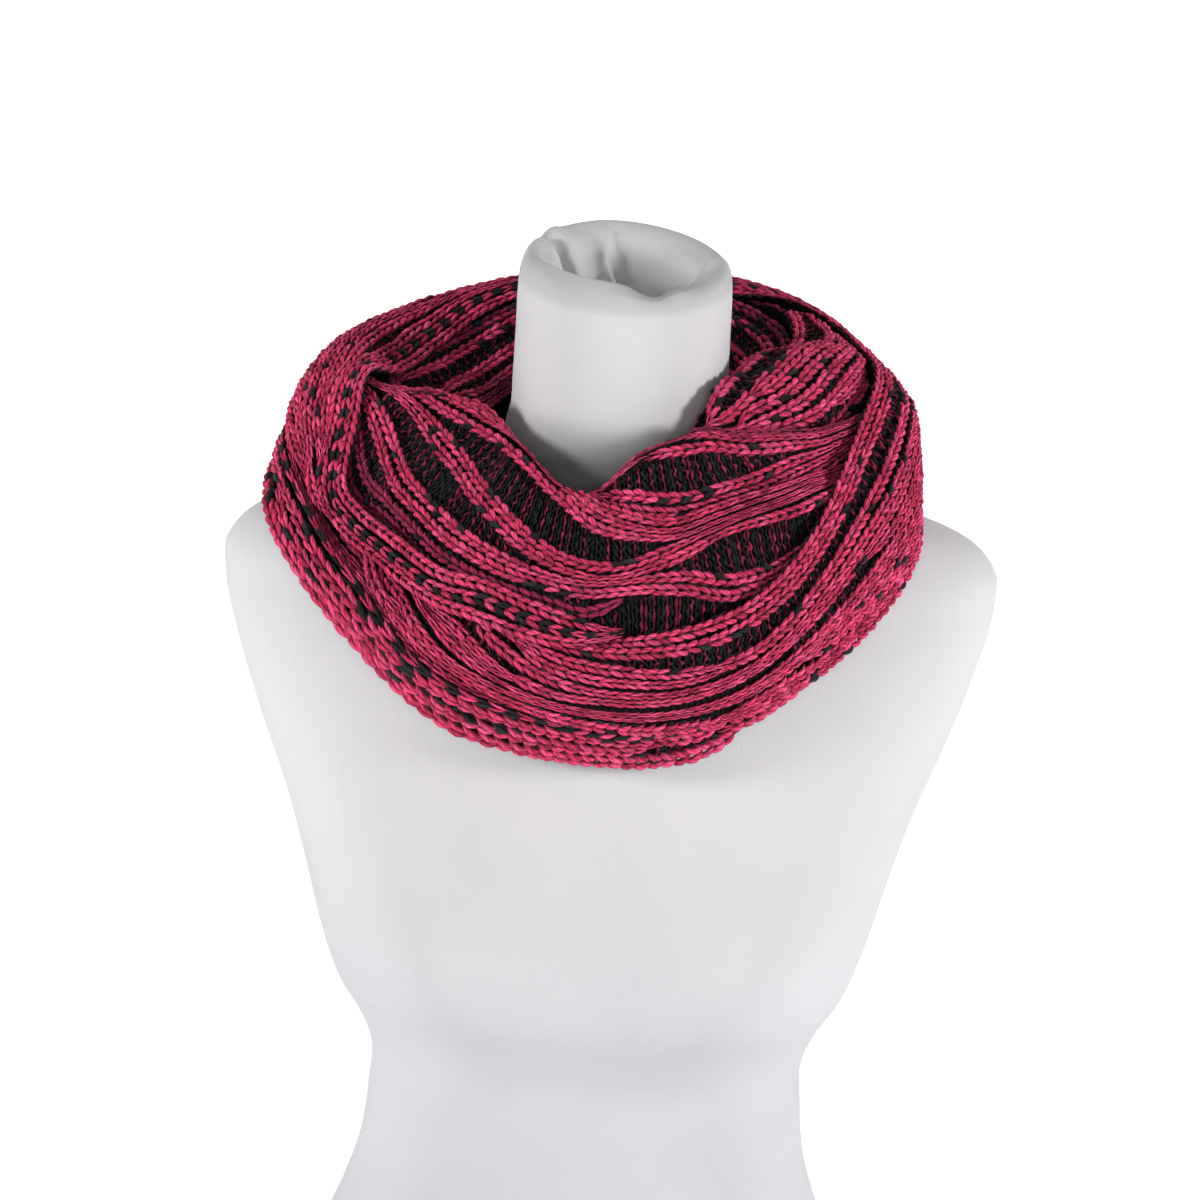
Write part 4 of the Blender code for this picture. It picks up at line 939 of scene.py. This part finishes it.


# the fourth pink is a darker copy for what lies in the shade: painted shade
PINKS = [yarn("pink_yarn", (0.250, 0.010, 0.038), (0.965, 0.070, 0.206), (1.0, 0.35, 0.50)),
         yarn("pink_yarn_light", (0.320, 0.014, 0.052), (0.990, 0.104, 0.262), (1.0, 0.40, 0.55)),
         yarn("pink_yarn_dark", (0.170, 0.006, 0.026), (0.770, 0.044, 0.142), (1.0, 0.32, 0.48)),
         yarn("pink_yarn_painted_shade", (0.110, 0.006, 0.024), (0.460, 0.028, 0.105), (1.0, 0.40, 0.58), 0.08),
         yarn("charcoal_yarn", (0.0012, 0.0011, 0.0014), (0.015, 0.0148, 0.018), (0.6, 0.6, 0.7), 0.06),
         yarn("charcoal_yarn_light", (0.0016, 0.0015, 0.0020), (0.032, 0.033, 0.039), (0.6, 0.6, 0.7), 0.08)]
UNDER = cloth_under()


def jersey():
    m, nt, sh = material("white_jersey")
    N = nt.nodes.new
    co = N("ShaderNodeTexCoord")
    big = N("ShaderNodeTexNoise"); big.inputs["Scale"].default_value = 9.0; big.inputs["Detail"].default_value = 2.0
    link(nt, co.outputs["Object"], big.inputs["Vector"])
    ramp = N("ShaderNodeValToRGB")
    ramp.color_ramp.elements[0].position = 0.3; ramp.color_ramp.elements[0].color = (0.475, 0.470, 0.486, 1)
    ramp.color_ramp.elements[1].position = 0.7; ramp.color_ramp.elements[1].color = (0.515, 0.509, 0.524, 1)
    link(nt, big.outputs["Fac"], ramp.inputs["Fac"])
    where = N("ShaderNodeSeparateXYZ")
    link(nt, co.outputs["Object"], where.inputs[0])
    bands = N("ShaderNodeValToRGB")                 # cooler below the chest
    bands.color_ramp.elements[0].position = 0.20; bands.color_ramp.elements[0].color = (0.960, 0.985, 1.0, 1)
    bands.color_ramp.elements[1].position = 0.30; bands.color_ramp.elements[1].color = (1.0, 0.985, 0.985, 1)
    link(nt, where.outputs["Z"], bands.inputs["Fac"])
    tint = N("ShaderNodeMix"); tint.data_type = "RGBA"; tint.blend_type = "MULTIPLY"
    tint.inputs["Factor"].default_value = 1.0
    link(nt, ramp.outputs["Color"], tint.inputs["A"])
    link(nt, bands.outputs["Color"], tint.inputs["B"])
    # the 'shade' colour attribute multiplies in the painted shade and shadow of the form
    shade = N("ShaderNodeVertexColor"); shade.layer_name = "shade"
    dim = N("ShaderNodeMix"); dim.data_type = "RGBA"; dim.blend_type = "MULTIPLY"
    dim.inputs["Factor"].default_value = 1.0
    link(nt, tint.outputs["Result"], dim.inputs["A"])
    link(nt, shade.outputs["Color"], dim.inputs["B"])
    link(nt, dim.outputs["Result"], sh.inputs["Base Color"])
    sep = N("ShaderNodeMapping"); sep.inputs["Scale"].default_value = (900.0, 900.0, 260.0)
    link(nt, co.outputs["Object"], sep.inputs["Vector"])
    knit = N("ShaderNodeTexNoise"); knit.inputs["Scale"].default_value = 1.0; knit.inputs["Detail"].default_value = 1.0
    link(nt, sep.outputs["Vector"], knit.inputs["Vector"])
    bump = N("ShaderNodeBump"); bump.inputs["Strength"].default_value = 0.35; bump.inputs["Distance"].default_value = 0.0004
    link(nt, knit.outputs["Fac"], bump.inputs["Height"])
    link(nt, bump.outputs["Normal"], sh.inputs["Normal"])
    sh.inputs["Roughness"].default_value = 0.82
    sh.inputs["Specular IOR Level"].default_value = 0.3
    sh.inputs["Sheen Weight"].default_value = 0.06
    sh.inputs["Sheen Roughness"].default_value = 0.6
    return m


JERSEY = jersey()

# ---------------------------------------------------------------- the dress form
FINE_SIDES = 160


def form_ring_fine(z, half, front, back, power, slope=0.0):
    w = np.linspace(0, 2 * np.pi, FINE_SIDES, endpoint=False)
    c, s = np.cos(w), np.sin(w)
    x = half * np.sign(c) * np.abs(c) ** (2 / power)
    y = np.where(s > 0, back, front) * np.sign(s) * np.abs(s) ** (2 / power)
    chest = 0.011 * np.exp(-((np.abs(x) - 0.092) / 0.046) ** 2 - ((z - 0.262) / 0.042) ** 2)
    y = y - np.where(s < -0.05, chest, 0.0)
    return np.stack([x, y, z + slope * y], -1)


# the cover tucked into the neck: lines over the opening (shares of its half sizes, +y to the back), height, width
TUCKS = [
    (((-0.86, 0.46), (-0.72, 0.36), (-0.58, 0.05), (-0.44, -0.42), (-0.34, -0.56)), -0.0085, 0.060),   # dark crease
    (((-0.90, 0.62), (-0.64, 0.46), (-0.46, 0.12), (-0.26, -0.40)), 0.0030, 0.13),                      # roll beside it
    (((-0.99, 0.10), (-0.88, 0.22), (-0.72, 0.12), (-0.60, -0.14)), 0.0030, 0.10),                      # left shoulder
    (((-0.98, -0.30), (-0.60, -0.62), (-0.20, -0.84), (0.20, -0.98)), 0.0040, 0.15),                    # front roll
    (((-0.24, 0.80), (-0.20, 0.45), (-0.08, 0.00), (0.00, -0.45), (0.04, -0.75)), 0.0050, 0.09),        # middle fold
    (((-0.14, 0.85), (-0.06, 0.45), (0.06, 0.05), (0.12, -0.40)), -0.0060, 0.10),
    (((0.99, 0.16), (0.84, 0.02), (0.66, -0.28), (0.52, -0.72), (0.44, -0.92)), 0.0048, 0.12),          # right lip
    (((0.80, 0.22), (0.66, 0.02), (0.52, -0.30)), -0.0026, 0.09),
]


def tuck(X, Y):
    """Height of the tucked cover over the plain opening."""
    dz = -0.0150 * np.exp(-((X - 0.28) / 0.36) ** 2 - ((Y + 0.42) / 0.40) ** 2)
    for line, height, width in TUCKS:
        line = np.array(line)
        best = np.full(X.shape, 9.0)
        fade = np.zeros(X.shape)
        total = len(line) - 1
        for k in range(total):
            a, d = line[k], line[k + 1] - line[k]
            u = np.clip(((X - a[0]) * d[0] + (Y - a[1]) * d[1]) / (d @ d), 0, 1)
            r = np.hypot(X - a[0] - u * d[0], Y - a[1] - u * d[1])
            near = r < best
            best = np.where(near, r, best)
            fade = np.where(near, (k + u) / total, fade)
        dz = dz + height * np.exp(-(best / width) ** 2) * np.clip(np.sin(np.pi * (0.08 + 0.84 * fade)) * 1.5, 0, 1)
    # the cover stands higher at the back and falls to the right
    return dz + np.where(Y > -0.4, (0.0026 - 0.0042 * np.clip(X + 0.2, 0, 2)) * np.clip((Y + 0.4) / 0.8, 0, 1), 0)


def dress_form():
    rows = np.array(FORM)
    levels = np.unique(np.concatenate([np.linspace(rows[i, 0], rows[i + 1, 0], 5) for i in range(len(rows) - 1)]))
    fine = through(rows[:, 0], rows[:, 1:], levels)
    rings = [form_ring_fine(z, *r) for z, r in zip(levels, fine)]
    neck = np.array(NECK, float)
    u = np.arange(len(neck))
    rim = form_ring_fine(NECK_TOP, *neck[3, 1:], 2.0, NECK_SLOPE)
    lift = tuck(rim[:, 0] / 0.050, rim[:, 1] / 0.050)
    for q in np.linspace(0, 3, 13):
        up, half, front, back = through(u, neck, np.array([q]))[0]
        k = np.clip((up + 0.021) / 0.010, 0, 1)
        ring = form_ring_fine(NECK_TOP + up, half, front, back, 2.0, 0.15 + (NECK_SLOPE - 0.15) * k)
        ring[:, 2] += lift * np.clip((q - 0.6) / 2.4, 0, 1) ** 1.3
        rings.append(ring)
    order = np.argsort(neck[3:, 1])
    for s in np.linspace(1.0, 0.03, 30)[1:]:
        depth = np.interp(s * neck[3, 1], neck[3:, 1][order], neck[3:, 0][order])
        ring = rim * [s, s, 1]
        X, Y = ring[:, 0] / 0.050, ring[:, 1] / 0.050
        ring[:, 2] = NECK_TOP + depth + NECK_SLOPE * ring[:, 1] + tuck(X, Y)
        rings.append(ring)
    n = FINE_SIDES
    points = np.concatenate(rings + [rings[-1].mean(0)[None], rings[0].mean(0)[None]])
    i = np.arange(n); j = (i + 1) % n
    quads = []
    for k in range(len(rings) - 1):
        quads.append(np.stack([k * n + i, k * n + j, (k + 1) * n + j, (k + 1) * n + i], -1))
    quads = np.concatenate(quads)
    tris = np.concatenate([quads[:, [0, 1, 2]], quads[:, [0, 2, 3]]])
    top, base = len(points) - 2, len(points) - 1
    k = (len(rings) - 1) * n
    tris = np.concatenate([tris, np.stack([k + i, k + j, np.full(n, top)], -1), np.stack([j, i, np.full(n, base)], -1)])
    # painted shade: the cover is darker where it is tucked deep into the neck, and a painted shadow darkens it round
    # the foot of the neck inside the scarf
    X, Y, Z = points[:, 0] / 0.050, points[:, 1] / 0.050, points[:, 2]
    inside = (np.hypot(X, Y) < 1.0) & (Z > NECK_TOP - 0.03)
    # painted shade deep in the hollow of the neck opening
    painted_hollow_shade = 1 - 0.92 * np.exp(-((X - 0.26) / 0.40) ** 2 - ((Y + 0.55) / 0.34) ** 2) * inside
    # painted shadow round the foot of the neck, where the scarf keeps the light off
    painted_foot_shadow = 1 - 0.70 * np.clip((0.550 - Z) / 0.026, 0, 1) * np.clip((Z - 0.470) / 0.02, 0, 1) * (np.hypot(X, Y) < 1.9)
    # the hard rim of the neck shows greyer through the cover above it
    lip = NECK_TOP - 0.0125 + NECK_SLOPE * points[:, 1]
    ring = np.clip((np.hypot(X, Y) - 0.90) / 0.12, 0, 1)
    over = (np.clip((Z - lip) / 0.0040, 0, 1) * ring)[:, None]
    rgb = (1 - over) + over * np.array([0.80, 0.825, 0.795])
    return mesh_object("form_cover", points, tris, [JERSEY], shade=(painted_hollow_shade * painted_foot_shadow)[:, None] * rgb)


form = dress_form()
form.data.set_sharp_from_angle(angle=math.radians(60))
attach(form, "root"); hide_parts("dress_form")

# ---------------------------------------------------------------- the scarf
SPLIT = dict(upper_wrap=(0, 6, 11, None), lower_wrap=(0, 6, None), front_wrap=(0, 9, None))
for name in TABLES:
    grid = stretch_grid(name, 1.2, 4)
    base = shell(grid, [UNDER])
    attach(base, "root"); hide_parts(name)
    pieces = []
    cuts = SPLIT.get(name, (0, None))
    for k in range(len(cuts) - 1):
        pieces += stitches(name, str(k + 1), grid, cuts[k], cuts[k + 1], PINKS)
    data = strands(grid)
    if data is not None:
        pieces.append(strands_mesh(f"{name}_strands", data, PINKS))
    for ob in pieces:
        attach(ob, "root")

# ---------------------------------------------------------------- floor, light, camera
m, nt, sh = material("studio_floor")
sh.inputs["Base Color"].default_value = (0.90, 0.90, 0.90, 1)
sh.inputs["Roughness"].default_value = 0.9
sh.inputs["Specular IOR Level"].default_value = 0.1
sh.inputs["Emission Color"].default_value = (1, 1, 1, 1)
sh.inputs["Emission Strength"].default_value = 0.17
FLOOR_M = m
prof = [(-6.0, 0.0), (1.8, 0.0)] + [(1.8 + 1.6 * math.sin(a), 1.6 - 1.6 * math.cos(a)) for a in np.linspace(0, math.pi / 2, 14)[1:]] + [(3.4, 7.0)]
prof = np.array(prof)
pts = np.concatenate([np.stack([np.full(len(prof), x), prof[:, 0], prof[:, 1]], -1) for x in (-7.0, 7.0)])
n = len(prof); i = np.arange(n - 1)
floor = mesh_object("studio_floor", pts - np.array([0, FORWARD, 0]), np.stack([i, i + n, i + n + 1, i + 1], -1), [FLOOR_M])


def area(name, size, power, where, aim, colour=(1, 1, 1)):
    li = bpy.data.lights.new(name, "AREA")
    li.shape = "RECTANGLE"; li.size, li.size_y = size
    li.energy = power; li.color = colour
    ob = bpy.data.objects.new(name, li)
    bpy.context.scene.collection.objects.link(ob)
    from mathutils import Vector
    ob.location = where
    ob.rotation_euler = (Vector(aim) - Vector(where)).to_track_quat("-Z", "Y").to_euler()
    return ob


area("key_left", (0.45, 0.45), 42, (-1.95, -1.05, 0.92), (0, 0, 0.46))
area("key_right", (0.45, 0.45), 43, (1.92, -1.02, 0.88), (0, 0, 0.46))
area("front", (1.4, 1.0), 15, (0.1, -2.4, 0.95), (0, 0, 0.40))
area("backdrop", (2.6, 1.2), 70, (0, 1.0, 2.6), (0, 3.2, 0.9))
world = bpy.data.worlds.new("studio")
bpy.context.scene.world = world
world.use_nodes = True
world.node_tree.nodes["Background"].inputs["Color"].default_value = (1, 1, 1, 1)
world.node_tree.nodes["Background"].inputs["Strength"].default_value = 0.055

EL, DIST, ROLL = math.radians(12.0), 1.80, math.radians(2.9)
target = np.array([-0.005, FORWARD, 0.442])
eye = target + DIST * np.array([0, -math.cos(EL), math.sin(EL)])
fwd = (target - eye) / DIST
right0 = np.cross(fwd, [0, 0, 1]); right0 /= np.linalg.norm(right0)
up0 = np.cross(right0, fwd)
right = right0 * math.cos(ROLL) + up0 * math.sin(ROLL)
up = -right0 * math.sin(ROLL) + up0 * math.cos(ROLL)
from mathutils import Matrix
cam = bpy.data.cameras.new("camera")
cam.lens, cam.sensor_width, cam.sensor_height, cam.sensor_fit = 100, 36, 36, "HORIZONTAL"
cam_ob = bpy.data.objects.new("camera", cam)
M = Matrix.Identity(4)
for r in range(3):
    M[r][0], M[r][1], M[r][2], M[r][3] = right[r], up[r], -fwd[r], eye[r]
cam_ob.matrix_world = M
bpy.context.scene.collection.objects.link(cam_ob)
bpy.context.scene.camera = cam_ob
bpy.context.scene.view_settings.view_transform = "Standard"
bpy.context.scene.view_settings.look = "None"

bpy.context.view_layer.update()
